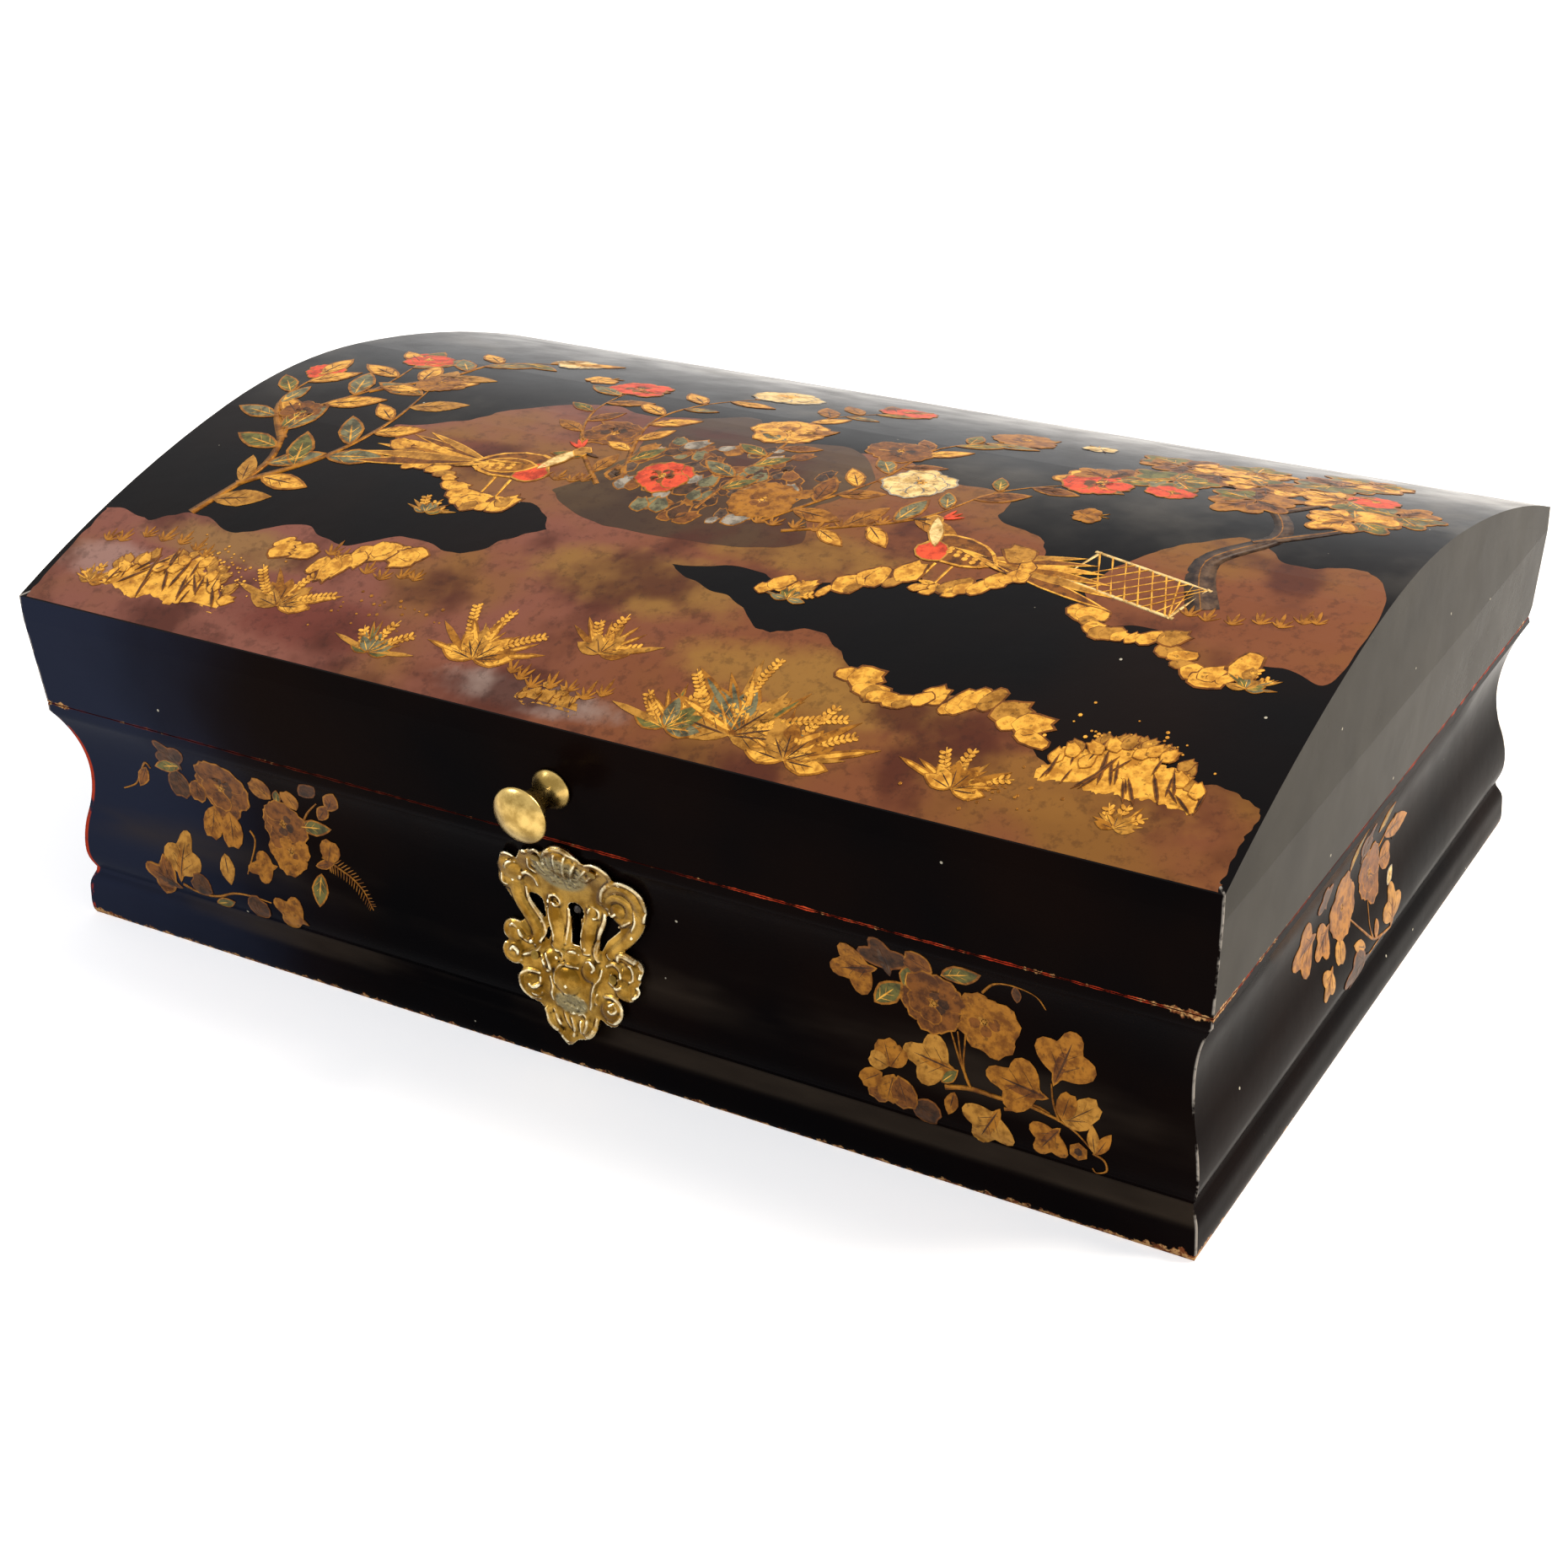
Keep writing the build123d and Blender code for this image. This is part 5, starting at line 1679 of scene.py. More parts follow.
    side_stems: tuple = (
        (1.1, ((15, 18), (8, 19.5), (1, 22), (-6, 28), (-11, 33), (-16, 38))),
        (0.8, ((1, 22), (-1, 27), (0.5, 33))),
        (0.8, ((8, 19.5), (-2, 19), (-10, 19.6))),
        (0.8, ((10, 43), (20, 45.5), (30, 42))),
    )

    def spray(self, brush: Painter, marks: tuple[Mark, ...], flowers: tuple, stems: tuple) -> None:
        """Paints one spray: stems first, then leaves, then flowers.

        Args:
            brush: Painter with the sheet of its wall.
            marks: Leaves and petals.
            flowers: Centre, radius, paint and petals of each flower.
            stems: Stems.
        """
        for thick, route in stems:
            brush.line(route, thick, 0.4, Tint.AMBER)
        for shape, x, z, turn, size, tint, flat in marks:
            brush.leaf((x, z), turn, size, Tint[tint], Shape[shape], flat)
        for at, radius, tint, petals in flowers:
            brush.blossom(at, radius, Tint[tint], petals, Tint.OCHRE)

    def fern(self, brush: Painter) -> None:
        """Paints the barbs of the fern at the end of the left spray.

        Args:
            brush: Painter with the sheet that it goes on.
        """
        for number, (x, z) in enumerate(smooth(((-78, 37), (-70, 34.2), (-63.4, 28.4)), 9)):
            for side in (70, -50):
                brush.put(Shape.BLADE, (x, z), -25 - 2 * number + side, 3.2 - 0.09 * number, Tint.COPPER, 1.0)

    def build(self, palette: Palette, motifs: dict[Shape, Motif]) -> None:
        """Paints the sprays of the front and both sides and lays them on the walls.

        Args:
            palette: The paints.
            motifs: The shapes, modelled flat.
        """
        chance = random.Random(5)
        front = Painter(Sheet(Side.FRONT, "base_front_wall", 1.4, True), palette, motifs, chance)
        self.spray(front, self.right_marks, self.right_flowers, self.right_stems)
        self.spray(front, self.left_marks, self.left_flowers, self.left_stems)
        self.fern(front)
        front.sheet.lay("front_gilt_sprays", "base", palette)
        for side, wall, name in (
            (Side.RIGHT, "base_right_wall", "right_gilt_spray"),
            (Side.LEFT, "base_left_wall", "left_gilt_spray"),
        ):
            brush = Painter(Sheet(side, wall, 1.4, True), palette, motifs, chance)
            self.spray(brush, self.side_marks, self.side_flowers, self.side_stems)
            brush.sheet.lay(name, "base", palette)


Cast = tuple[float, float, tuple[Point, ...]]


@dataclass
class BaseWalls:
    """The four base walls as the hand-planed moulding has them: a rounded foot and a soft hollow under the bulge.

    The profile holds how far the face stands back at each millimetre of height, from the floor up.
    """

    profile: tuple[float, ...] = (
        2.1, 1.7, 1.55, 1.5, 1.5, 1.55, 1.6, 1.65, 1.7, 1.8, 2.0, 2.4, 2.9, 3.4, 3.6, 3.2, 2.8, 2.5, 2.3, 2.17, 2.11,
    )
    soft_to: float = 20.01
    deepest: float = 4.0

    def setback(self, height: float) -> float:
        """How far the face stands back at a height, in millimetres.

        Args:
            height: Height above the floor.

        Returns:
            The distance.
        """
        low = min(max(int(height), 0), len(self.profile) - 2)
        first, second = self.profile[low : low + 2]
        return first + (second - first) * (height - low)

    def plane(self, piece: bpy.types.Object, along_x: bool) -> None:
        """Moves the lower part of a wall's outer face back to the profile; mitred ends keep their mitre.

        Args:
            piece: The wall, already cut across at every millimetre.
            along_x: Whether it is the front or back wall.
        """
        own, other = (1, 0) if along_x else (0, 1)
        half = (HALF_LENGTH, HALF_DEPTH)
        for corner in piece.data.vertices:
            height = corner.co.z / MM
            off = [half[axis] - abs(corner.co[axis]) / MM for axis in (0, 1)]
            if height > self.soft_to or off[own] > self.deepest:
                continue
            back = self.setback(height)
            for axis in (own, other) if abs(off[own] - off[other]) < 0.05 else (own,):
                corner.co[axis] = math.copysign((half[axis] - back) * MM, corner.co[axis])

    def build(self) -> None:
        """Replaces each wall with a copy that has the soft profile."""
        for side in ("front", "back", "left", "right"):
            wall = frame["nodes"][f"base_{side}_wall"]
            piece = added(f"moulded_{side}_wall", wall.data.copy())
            paint_with(piece, wall.material_slots[0].material)
            with editing(piece):
                bpy.ops.mesh.remove_doubles(threshold=1e-6)
                for height in range(1, len(self.profile) - 1):
                    bpy.ops.mesh.select_all(action="SELECT")
                    bpy.ops.mesh.bisect(plane_co=(0, 0, height * MM), plane_no=(0, 0, 1))
            bpy.ops.mesh.customdata_custom_splitnormals_clear()
            self.plane(piece, side in ("front", "back"))
            bpy.ops.object.shade_smooth_by_angle(angle=math.radians(30))
            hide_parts(wall.name)
            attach(piece, "base")
            log.info("%s: %d faces", piece.name, len(piece.data.polygons))


@dataclass
class KeyholePlate:
    """Cast openwork keyhole plate, bent to the moulded wall: a web with swelling members, lobes and chased ribs.

    Each member or rib is its radius at its middle, its radius at its ends and its route in x and z; each lobe is its
    centre in x and z and its radius. All are in millimetres. The keyhole is the height and radius of its eye and the
    height of its foot. The plate bridges the groove below groove_to, where its back stays at groove, in metres.
    """

    outline: tuple[Point, ...] = (
        (-19.7, 56.2), (-17.2, 56.9), (-15.5, 55.7), (-14.2, 57.1), (-12.8, 59.2), (-11.6, 59), (-10.1, 60.5),
        (-8, 61.1), (-6.8, 59.9), (-4.3, 62.4), (-2.3, 63.9), (-0.1, 64.3), (2.5, 63.8), (4.6, 62.4), (5.9, 60.5),
        (8.6, 61.4), (11.4, 60.8), (12.9, 58.2), (13.9, 56.4), (16.8, 56.2), (19.8, 53.6), (20.8, 49.7), (20.2, 45.7),
        (18.3, 41.6), (16, 38.4), (14.1, 36.2), (15.4, 35.3), (17.5, 34.6), (19.1, 32.9), (19.1, 30.7), (17.9, 28.8),
        (18.4, 26.8), (17.5, 24.8), (15.5, 23.9), (12.7, 24.3), (14.1, 21.6), (13.6, 18.2), (11.8, 15.7), (9.4, 15.5),
        (7.4, 16.6), (6.8, 14.2), (5.1, 11.4), (3.1, 9.4), (0.4, 8.6), (-1.2, 7), (-3, 6.4), (-4.8, 8.2), (-6.9, 10.2),
        (-8.4, 12.6), (-9.6, 15.4), (-11, 16.4), (-13.8, 16.9), (-15.9, 19.7), (-17, 22.4), (-15.2, 25), (-16.5, 25.9),
        (-19.6, 26.2), (-21.2, 28), (-21.2, 30), (-19.9, 31.4), (-21.2, 32.9), (-21.6, 34.9), (-19.6, 36.8),
        (-16.8, 36.7), (-15.5, 37.8), (-17.3, 40.2), (-20, 43.6), (-21.8, 47), (-21.9, 51.1),
    )
    openings: tuple[tuple[Point, ...], ...] = (
        (
            (-13.5, 45.5), (-10.4, 45.1), (-9.4, 42.7), (-9, 39.3), (-7.8, 36.5), (-8.1, 34.1), (-9.1, 34.6),
            (-9.8, 37.7), (-12.2, 40.8), (-13.8, 43.2),
        ),
        ((8.5, 45), (13.6, 43.9), (11.8, 40.7), (9, 37.9), (7.4, 34.8), (6.7, 36.1), (6.8, 38.8), (8, 42.2)),
    )
    members: tuple[Cast, ...] = (
        (2, 1.6, (
            (-17.2, 48.5), (-17.5, 45.3), (-16.2, 42.2), (-13.8, 39.3), (-11.7, 36.5), (-11.2, 34.2), (-12.5, 32.5),
        )),
        (1.9, 1.5, ((-6.6, 44.9), (-6.4, 41.2), (-5.4, 37.4), (-5.2, 34.6), (-5.9, 32.5))),
        (1.8, 1.4, ((4.9, 45.9), (4.4, 42.2), (3.6, 38.4), (3.3, 35.3), (3.5, 33))),
        (1.7, 1.1, (
            (8.1, 48), (9.1, 51.1), (11.8, 53.8), (15.6, 54.5), (18.3, 52.3), (19.2, 48.5), (18.6, 44.9), (16.5, 41.2),
            (14.1, 38.4), (11.5, 36), (9.4, 33.9),
        )),
        (1.4, 0.9, (
            (9.6, 47), (10.3, 49.7), (12.9, 51.2), (15.8, 50.2), (16.3, 47.4), (15.1, 45.1), (12.9, 44.6), (11.8, 46.1),
            (13.1, 47.7),
        )),
        (1.4, 0.9, (
            (11.2, 34.1), (12.8, 35.1), (16.2, 34.2), (17.9, 32.4), (18.1, 30.2), (17, 28.3), (17.5, 26.2),
            (16.1, 24.8),
        )),
        (1.2, 0.8, ((-14, 33.7), (-16, 35.5), (-18.9, 35.8), (-20.5, 34.4), (-20.2, 32.7), (-18.4, 31.9))),
        (1.2, 0.8, ((-20.1, 30.5), (-20.4, 28.8), (-19.3, 27.1), (-17, 26.6), (-15.5, 27.5))),
    )
    lobes: tuple[Point3, ...] = (
        (-18.2, 51.1, 3.6), (-19.3, 47.9, 3), (-18, 33.7, 2.6), (-18, 29, 2.5), (-12.9, 20.9, 3.2), (-2, 24.8, 3.7),
        (15.6, 30.9, 2.2), (12.8, 47, 2.2), (10.9, 19.9, 3), (14.6, 26.8, 2.6), (-6.6, 12.4, 2.4), (3.4, 13, 2.6),
        (-2.1, 9.3, 2), (-1.3, 58.7, 4.6), (-8, 15.4, 1.2), (4.7, 29, 2.6), (-7, 29.4, 2.4), (-1.1, 31, 2.2),
    )
    ribs: tuple[Cast, ...] = (
        (0.7, 0.35, ((-15.5, 47.8), (-15, 50.2), (-12.9, 51.8), (-10.9, 50.6), (-10.4, 48.3))),
        (0.75, 0.4, ((-14, 47.2), (-13.7, 43.8), (-11.9, 41.2), (-9.6, 38.5), (-9.1, 35.8), (-10.2, 33.2))),
        (0.5, 0.3, ((-18.7, 52.3), (-17.5, 54), (-15.6, 54.3))),
        (0.5, 0.3, ((-20.2, 50.1), (-20.3, 47.6), (-19, 46.8))),
        (0.6, 0.35, ((-19.4, 55.9), (-17.5, 56.8), (-15.7, 56.1))),
        (0.6, 0.35, ((-12.2, 58.4), (-11.4, 59.5), (-10.8, 58.9))),
        (0.7, 0.4, ((-9.8, 59.7), (-7.6, 61), (-6.4, 60.2), (-6.8, 58.4))),
        (0.95, 0.5, ((-4.9, 59.9), (-2.9, 62.5), (-0.5, 63.8), (2.3, 63.6), (4.6, 62.3), (5.8, 60.2))),
        (0.85, 0.5, ((6.6, 60.2), (9.6, 61.2), (11.7, 60.2), (12.9, 57.7), (12.3, 55.1))),
        (0.6, 0.3, ((-3.5, 60.8), (-3.8, 57), (-4, 52.3))),
        (0.6, 0.3, ((-0.8, 62.2), (-1.9, 57.7), (-2.7, 52.5))),
        (0.6, 0.3, ((2, 62.2), (0.3, 57.7), (-1.3, 52.5))),
        (0.6, 0.3, ((4, 60.2), (1.9, 56.6), (0.1, 52.5))),
        (0.55, 0.3, ((6.1, 58.2), (4.1, 55.9), (2, 53.3))),
        (0.55, 0.3, ((9.8, 58.4), (6.9, 56.1), (4.7, 53.8))),
        (0.55, 0.3, ((-8.4, 58.4), (-8, 55.6), (-6.8, 53.3))),
        (0.55, 0.3, ((-11.2, 57), (-11.5, 54), (-9.8, 52.5))),
        (0.55, 0.35, ((-7.7, 44.4), (-7.2, 46.3), (-5.3, 46.9), (-4.2, 45.5), (-5.1, 44.2), (-6.1, 44.6))),
        (0.6, 0.35, ((-2, 44), (-2, 40.4), (-2.5, 36.9), (-3.1, 34.1))),
        (0.5, 0.3, ((-7.7, 42.8), (-7.2, 39.7), (-6.1, 36.7), (-6.2, 34.6))),
        (0.5, 0.3, ((4, 44.6), (5.1, 46.3), (6.9, 45.7), (6.8, 43.8), (5.4, 43.4))),
        (0.75, 0.4, ((8.8, 45.5), (8.2, 42.6), (6.9, 39.3), (6.3, 36.4))),
        (1, 0.5, ((6.7, 37.6), (6.1, 35.6), (6.1, 33.7), (7.1, 32))),
        (0.5, 0.3, ((2.6, 43.2), (2.3, 39.9), (1.7, 36.7), (2, 34.1))),
        (0.8, 0.45, ((8.6, 49.2), (9.8, 53), (13.1, 56.1), (17.1, 56.6), (20, 54.6), (20.9, 50.4), (20.3, 46.3))),
        (0.5, 0.3, ((17.8, 49), (18, 45.9), (16.5, 42.8))),
        (0.5, 0.3, ((12.2, 42.4), (14.5, 44.2), (16.3, 45.5))),
        (0.6, 0.35, ((9.9, 46.3), (11.1, 45.7), (12.4, 46.8))),
        (0.9, 0.5, ((12.4, 33.6), (13, 35.5), (14.9, 35.6), (17.9, 34.6), (19.2, 33.1), (19.1, 31))),
        (0.5, 0.3, ((15.1, 33.2), (16.3, 33.6), (17.3, 32.4), (17.4, 30.5), (16.2, 29.7))),
        (0.6, 0.35, ((18.5, 29), (18.8, 27.1), (17.4, 25.6))),
        (0.6, 0.35, ((-15.3, 28.5), (-12.9, 29.7), (-10.8, 31), (-9.9, 33.1))),
        (0.6, 0.35, ((-18.6, 29.2), (-17.8, 30.2), (-16.5, 29.5), (-16.5, 28.5))),
        (0.8, 0.4, ((-12, 33.2), (-13.7, 32.6), (-15.6, 33.4), (-16.7, 34.9))),
        (0.5, 0.3, ((-19.4, 35.1), (-18.5, 35.8), (-17, 35.2))),
        (0.55, 0.3, ((-8.5, 30.9), (-7, 29), (-6.8, 27), (-8.1, 26.1))),
        (0.55, 0.3, ((-10.1, 29.7), (-8.6, 28.4), (-8.8, 26.8))),
        (0.5, 0.3, ((-6.5, 31.9), (-4.8, 32.4), (-3.4, 31.2), (-3.9, 30), (-5.4, 30.4))),
        (0.5, 0.3, ((-2.2, 32.6), (-0.5, 32.9), (1.2, 32.4))),
        (0.6, 0.35, ((-5.2, 23.5), (-5.3, 26.6), (-3.9, 28.9), (-1.2, 29.5), (1.4, 29.2))),
        (0.5, 0.3, ((-6.9, 25.2), (-6.1, 22.6), (-6.5, 20.3), (-6.1, 18.5))),
        (0.55, 0.35, ((8.1, 30.4), (7.6, 28.2), (6.3, 26.3), (5.6, 23.7), (5.3, 20.7), (4.7, 18.7))),
        (0.45, 0.3, ((7.1, 24.1), (6.2, 22.2), (6.9, 20.7))),
        (0.6, 0.35, ((9, 31.5), (11, 32.6), (13.2, 31.7), (13.7, 29.9), (12.1, 29), (10.5, 29.9))),
        (0.5, 0.3, ((10.2, 28), (12.4, 27.1), (14.3, 27.8))),
        (0.5, 0.3, ((2.9, 30.9), (4.4, 31.5), (6, 30.5), (5.4, 29.4))),
        (0.7, 0.4, ((-9.8, 25), (-13.4, 24.9), (-15.6, 23), (-14.7, 20.2), (-12.5, 18.2), (-9.9, 17.9))),
        (0.6, 0.35, ((-12.9, 21.7), (-11.3, 21.3), (-10, 22.2), (-9.8, 24.1))),
        (0.45, 0.3, ((-12.1, 19.3), (-10.5, 18.9), (-9.3, 20.1))),
        (0.7, 0.4, ((8.9, 23.7), (11.7, 24.1), (13.8, 22.2), (13.7, 19.1), (11.6, 17.1), (9.6, 17.3))),
        (0.5, 0.3, ((10.6, 21.9), (12, 22.6), (12.9, 21.3), (11.7, 20.3), (10.5, 20.7))),
        (0.8, 0.4, ((-8.6, 15.8), (-7.4, 13), (-5.5, 10.7), (-3.6, 9), (-2.2, 7.8))),
        (0.5, 0.3, ((-6.4, 16.2), (-5, 13.6), (-4.1, 11.5))),
        (0.5, 0.3, ((-3.2, 16), (-2.4, 13.6), (-1.2, 11.7))),
        (0.6, 0.3, ((-1.2, 15), (-0.4, 12.2), (-0.7, 9.6))),
        (0.85, 0.4, ((6.6, 16.9), (6, 13.8), (4.6, 11.5), (2.5, 10.2))),
        (0.55, 0.3, ((0.8, 16), (2.8, 16.9), (3.8, 14.2), (2.4, 11.5))),
        (0.45, 0.3, ((1.6, 14.8), (2, 12.6), (1.5, 11.1))),
    )
    keyhole: Point3 = (43.7, 2.3, 34.6)
    slot: float = 1.35
    palmette: tuple[tuple[Point, Point, int], ...] = (((-2.5, 55.5), (7.5, 5.0), 95), ((-1.0, 19.0), (4.6, 2.8), 40))
    web: float = 1.1
    stand: float = 1.2
    voxel: float = 0.28
    proud: float = 0.15
    groove: float = -0.1114
    groove_to: int = 22

    def keyhole_outline(self) -> list[Point]:
        """The keyhole: a round eye over a straight slot.

        Returns:
            Its corners.
        """
        height, radius, foot = self.keyhole
        eye = [away((0, height), 234 - 24 * number, radius) for number in range(13)]
        return [*eye, (self.slot, foot), (-self.slot, foot)]

    def web_piece(self) -> bpy.types.Object:
        """Models the flat web with its openings; its front lies at depth 0 and faces -Y.

        Returns:
            The web.
        """
        routes = [ring(route, 4) for route in (self.outline, *self.openings)]
        piece = drawn("web", "POLY", [*routes, self.keyhole_outline()], extrude=self.web / 2 * MM)
        piece.data.transform(Matrix.Translation((0, self.web / 2 * MM, 0)) @ Matrix.Rotation(math.pi / 2, 4, "X"))
        return piece

    def cast(self, tree: BVHTree | None, part: Cast) -> Line:
        """Lays one member or rib on the web, or on whatever already stands on it.

        Args:
            tree: What it lies on, or nothing for a member that is centred on the web's front.
            part: Its radii and its route.

        Returns:
            Its middle line and radii.
        """
        middle, ends, route = part
        line = smooth(route, 4)
        last = len(line) - 1
        points, radii = [], []
        for number, (x, z) in enumerate(line):
            radius = ends + (middle - ends) * math.sin(math.pi * number / last)
            hit = tree.ray_cast(Vector((x * MM, -0.05, z * MM)), Vector((0, 1, 0)))[0] if tree else None
            depth = hit.y / MM - radius * self.proud if hit else 0.0
            points.append(Vector((x, depth, z)) * MM)
            radii.append(radius)
        return points, radii

    def lobe_pieces(self) -> list[bpy.types.Object]:
        """Models the swelling lobes as flattened balls on the web's front.

        Returns:
            The lobes.
        """
        bpy.ops.object.select_all(action="DESELECT")
        bpy.ops.mesh.primitive_uv_sphere_add(segments=24, ring_count=12, radius=1.0)
        ball = bpy.context.object
        pieces = []
        for x, z, radius in self.lobes:
            new = added("lobe", ball.data.copy())
            depth = 0.25 * radius + 0.25
            size = Matrix.Diagonal((radius * MM, depth * MM, radius * MM, 1))
            new.data.transform(Matrix.Translation(Vector((x, 0, z)) * MM) @ size)
            pieces.append(new)
        bpy.data.objects.remove(ball)
        return pieces

    def curls(self) -> list[Cast]:
        """Scatters the small chased curls of the matted places.

        Returns:
            The curls, as ribs are given.
        """
        chance = random.Random(3)
        found = []
        for (x, z), (wide, tall), count in self.palmette:
            for _ in range(count):
                reach, way = math.sqrt(chance.random()), chance.uniform(0, 2 * math.pi)
                at = (x + wide * reach * math.cos(way), z + tall * reach * math.sin(way))
                turn, size = chance.uniform(0, 6.3), chance.uniform(0.4, 0.8)
                route = tuple(away(at, math.degrees(turn + bow), size) for bow in (0, 1.2, 2.4, 3.4))
                found.append((0.3, 0.2, route))
        return found

    def bend(self, piece: bpy.types.Object) -> None:
        """Bends the flat plate to the moulded face of the wall behind it, passing over the groove above the plinth.

        Args:
            piece: The flat plate.
        """
        tree = rays_onto(frame["nodes"]["base_front_wall"].data)
        top = int(SEAM)
        face = [tree.ray_cast(Vector((0.03, -0.2, z * MM)), Vector((0, 1, 0)))[0].y for z in range(1, top + 1)]
        face = [min(y, self.groove) if z < self.groove_to else y for z, y in enumerate(face, 1)]
        for corner in piece.data.vertices:
            height = min(max(corner.co.z / MM, 1.0), top - 0.1)
            low = int(height)
            wall = face[low - 1] + (face[min(low, top - 1)] - face[low - 1]) * (height - low)
            corner.co.y += wall - self.stand * MM

    def build(self) -> None:
        """Joins the web, its members, lobes and ribs, rounds everything as a casting and fits it in place."""
        members = cords([self.cast(None, part) for part in self.members], 3)
        members.data.transform(Matrix.Diagonal((1, 0.55, 1, 1)))
        body = join([self.web_piece(), members, *self.lobe_pieces()], "cast_keyhole_plate")
        tree = rays_onto(body.data)
        ribs = [self.cast(tree, part) for part in (*self.ribs, *self.curls())]
        piece = join([body, cords(ribs, 2)], "cast_keyhole_plate")
        alone(piece)
        for kind, settings in (
            ("REMESH", {"mode": "VOXEL", "voxel_size": self.voxel * MM}),
            ("SMOOTH", {"factor": 0.5, "iterations": 1}),
        ):
            made = piece.modifiers.new(kind.lower(), kind)
            for key, value in settings.items():
                setattr(made, key, value)
            bpy.ops.object.modifier_apply(modifier=made.name)
        self.bend(piece)
        bpy.ops.object.shade_smooth()
        paint_with(piece, CastGilt().build())
        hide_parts("escutcheon")
        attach(piece, "base")
        log.info("keyhole plate: %d faces", len(piece.data.polygons))


@dataclass
class Knob:
    """Turned brass knob with a domed head, and the shank that runs through the lid.

    The profile is places along its axis and radii there; it stands square to the front, which leans out.
    """

    profile: tuple[Point, ...] = (
        (-17.6, 1.5), (-0.02, 1.5), (0.0, 4.8), (0.3, 5.3), (0.8, 5.3), (1.5, 4.7), (2.6, 3.7), (4.6, 3.1), (6.8, 3.2),
        (9.0, 4.0), (11.0, 5.8), (12.4, 7.0), (13.1, 7.5), (13.7, 7.3), (14.7, 5.7), (15.6, 3.6), (16.0, 1.6),
    )
    turns: int = 48
    height: float = 80.0
    lean: float = math.atan2(1.6, 24.0)

    def build(self) -> None:
        """Turns the knob step by step from its shank to its head."""
        bpy.ops.mesh.primitive_circle_add(vertices=self.turns, radius=self.profile[0][1] * MM, fill_type="NGON")
        piece = bpy.context.object
        piece.name = piece.data.name = "turned_knob"
        with editing(piece):
            bpy.ops.transform.translate(value=(0, 0, self.profile[0][0] * MM))
            for (before, wide), (after, next_wide) in zip(self.profile, self.profile[1:]):
                bpy.ops.mesh.extrude_region_move(TRANSFORM_OT_translate={"value": (0, 0, (after - before) * MM)})
                ratio = next_wide / wide
                bpy.ops.transform.resize(value=(ratio, ratio, 1), center_override=(0, 0, after * MM))
            bpy.ops.mesh.select_all(action="SELECT")
            bpy.ops.mesh.normals_make_consistent(inside=False)
        rounding = piece.modifiers.new("rounding", "SUBSURF")
        rounding.levels = rounding.render_levels = 1
        bpy.ops.object.modifier_apply(modifier="rounding")
        out = HALF_DEPTH + (self.height - LID_FOOT) * math.tan(self.lean)
        foot = Vector((0, -out, self.height)) * MM
        piece.data.transform(Matrix.Translation(foot) @ Matrix.Rotation(math.pi / 2 + self.lean, 4, "X"))
        bpy.ops.object.shade_smooth_by_angle(angle=math.radians(40))
        paint_with(piece, DulledMetal("handled_brass", "#d0b069", "#967a3f", 0.26).build())
        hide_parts("lid_knob")
        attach(piece, "lid")
        log.info("knob: %d faces", len(piece.data.polygons))


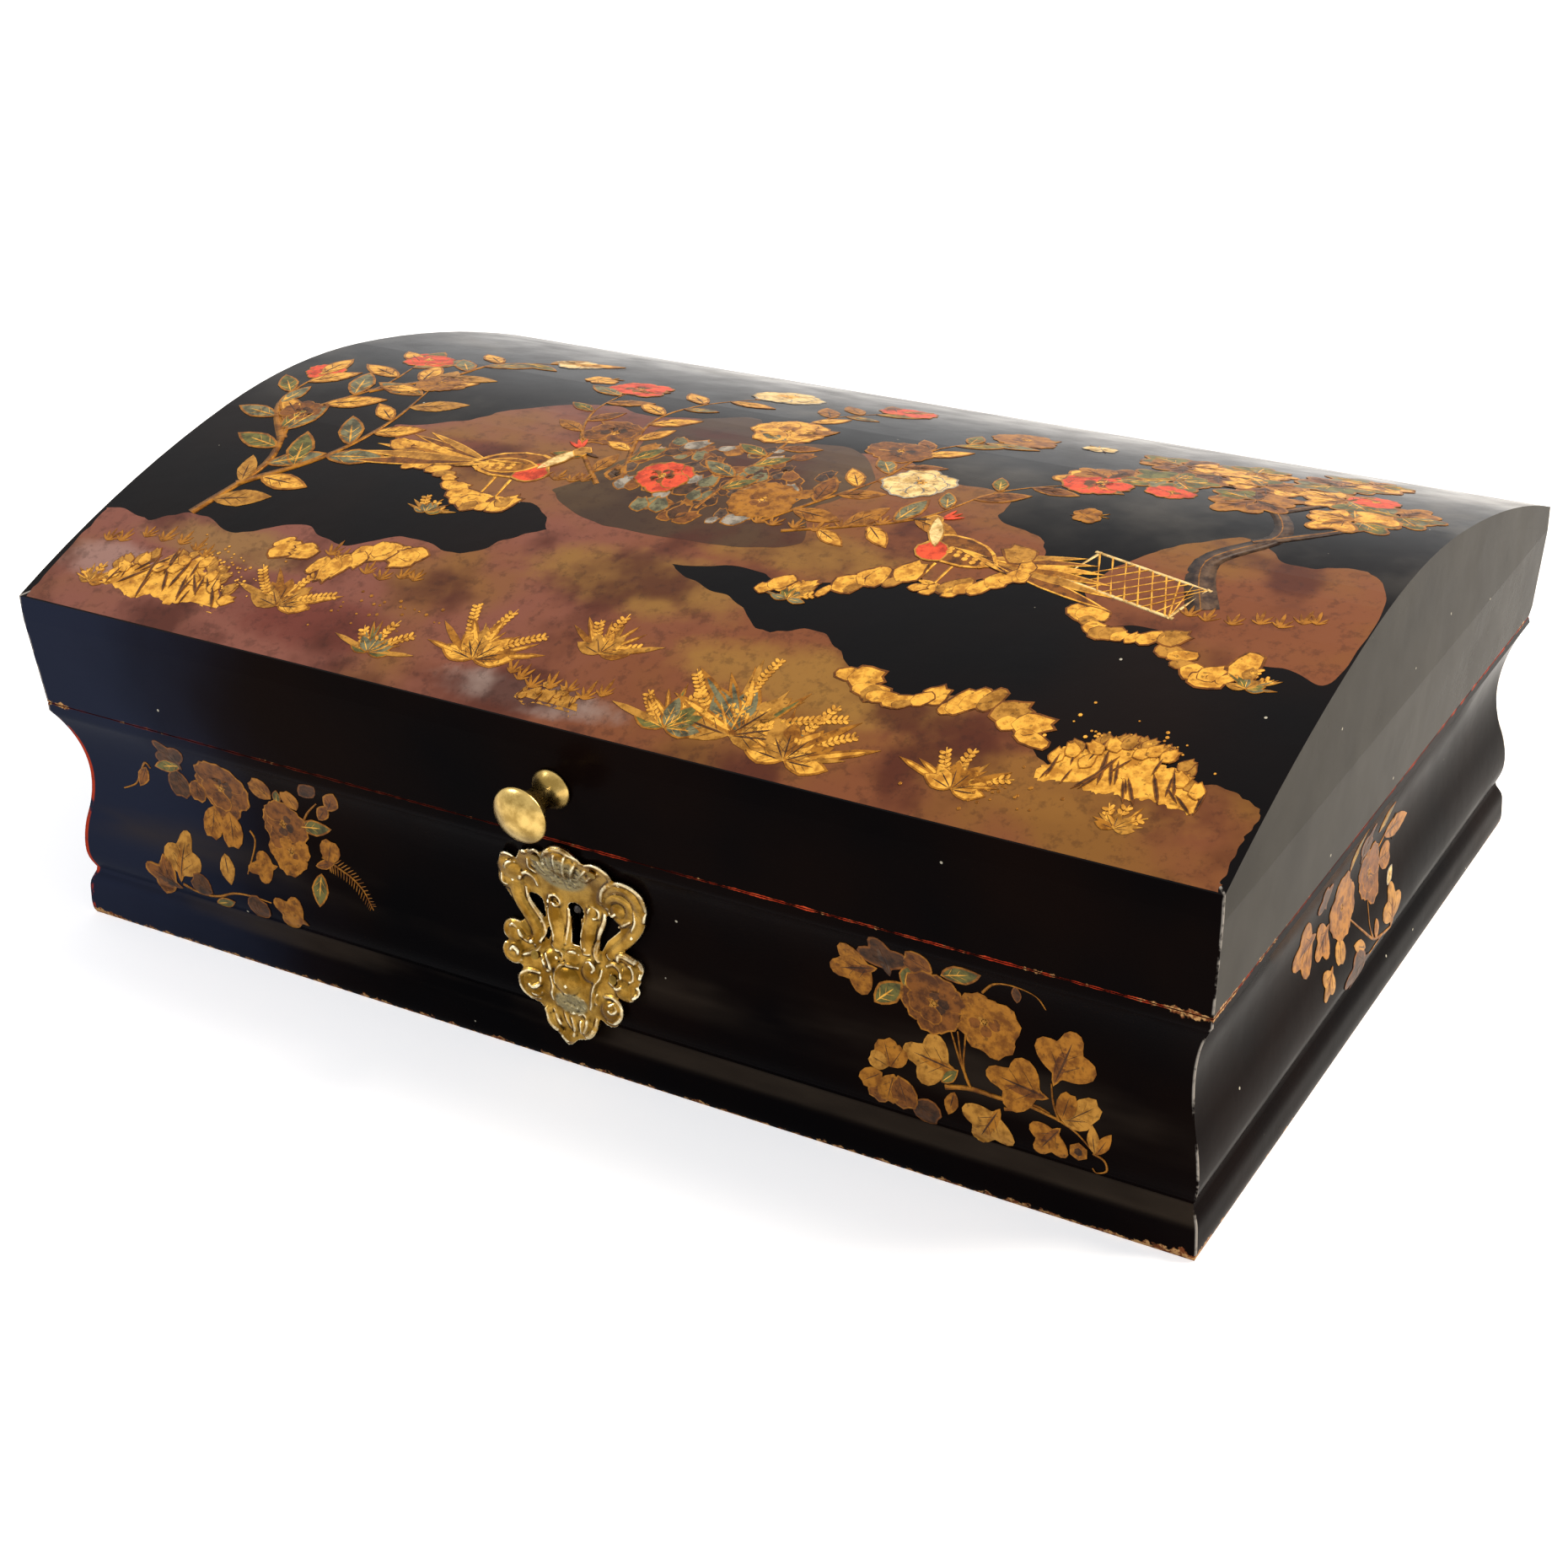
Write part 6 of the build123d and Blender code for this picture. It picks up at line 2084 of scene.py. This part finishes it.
@dataclass
class Studio:
    """Camera at the photograph's place, pale floor and soft light.

    Each lamp is its name, its place and size in metres, its power in watts and its colour.
    """

    lens: float = 60.02
    camera_at: Point3 = (0.32671, -0.54683, 0.36632)
    right: Point3 = (0.86259, 0.50496, -0.03087)
    down: Point3 = (0.21495, -0.42104, -0.88120)
    forward: Point3 = (-0.45797, 0.75348, -0.47173)
    shift: Point = (-0.0015, 0.0024)
    floor_size: float = 6.0
    sky: float = 0.6
    lamps: tuple[tuple[str, Point3, float, float, str], ...] = (
        ("window", (0.9, 0.5, 1.2), 0.7, 34.0, "#fff6ea"),
        ("side_fill", (-0.9, -0.9, 0.9), 0.5, 9.0, "#e6edff"),
    )

    def camera(self) -> None:
        """Makes the camera."""
        data = bpy.data.cameras.new("camera")
        data.lens = self.lens
        data.sensor_width = 36.0
        data.shift_x, data.shift_y = self.shift
        camera = bpy.data.objects.new("camera", data)
        bpy.context.scene.collection.objects.link(camera)
        across, upward, back = Vector(self.right), -Vector(self.down), -Vector(self.forward)
        turn = Matrix((across, upward, back)).transposed()
        camera.matrix_world = Matrix.Translation(self.camera_at) @ turn.to_4x4()
        bpy.context.scene.camera = camera

    def floor(self) -> None:
        """Makes the floor."""
        bpy.ops.mesh.primitive_plane_add(size=self.floor_size)
        floor = bpy.context.object
        floor.name = "floor"
        floor.data.materials.append(PaleFloor().build())

    def lamp(self, name: str, at: Point3, size: float, power: float, colour: str) -> None:
        """Adds one soft lamp that faces the box.

        Args:
            name: Its name.
            at: Its place in metres.
            size: Its width in metres.
            power: Its power in watts.
            colour: Its colour as a hex value.
        """
        data = bpy.data.lights.new(name, "AREA")
        data.size = size
        data.energy = power
        data.color = linear(colour)[:3]
        lamp = bpy.data.objects.new(name, data)
        bpy.context.scene.collection.objects.link(lamp)
        lamp.location = at
        lamp.rotation_euler = (Vector((0, 0, 0.05)) - Vector(at)).to_track_quat("-Z", "Y").to_euler()

    def light(self) -> None:
        """Sets the sky, which is white where the camera or a polished surface sees it, and the lamps."""
        world = bpy.data.worlds.new("studio")
        bpy.context.scene.world = world
        world.use_nodes = True
        tree = world.node_tree
        tree.nodes.clear()
        inputs = {0: seen_directly(tree), 1: 1 - self.sky, 2: self.sky}
        strength = add_node(tree, "ShaderNodeMath", inputs, operation="MULTIPLY_ADD")
        sky = add_node(tree, "ShaderNodeBackground", {"Color": "#ffffff", "Strength": strength.outputs[0]})
        add_node(tree, "ShaderNodeOutputWorld", {"Surface": sky.outputs[0]})
        for lamp in self.lamps:
            self.lamp(*lamp)

    def build(self) -> None:
        """Makes the camera, the floor and the light."""
        bpy.context.scene.view_settings.view_transform = "Standard"
        self.camera()
        self.floor()
        self.light()


def main() -> None:
    """Builds the scene in order."""
    logging.basicConfig(level=logging.INFO, format="%(relativeCreated)d %(message)s")
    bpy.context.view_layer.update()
    Carcase().dress()
    palette = Palette()
    motifs = {shape: Motif(shape) for shape in Shape}
    LidPicture().build(palette, motifs)
    BaseSprays().build(palette, motifs)
    for motif in motifs.values():
        bpy.data.objects.remove(motif.piece)
    KeyholePlate().build()
    BaseWalls().build()
    Knob().build()
    Studio().build()


if __name__ == "__main__":
    main()
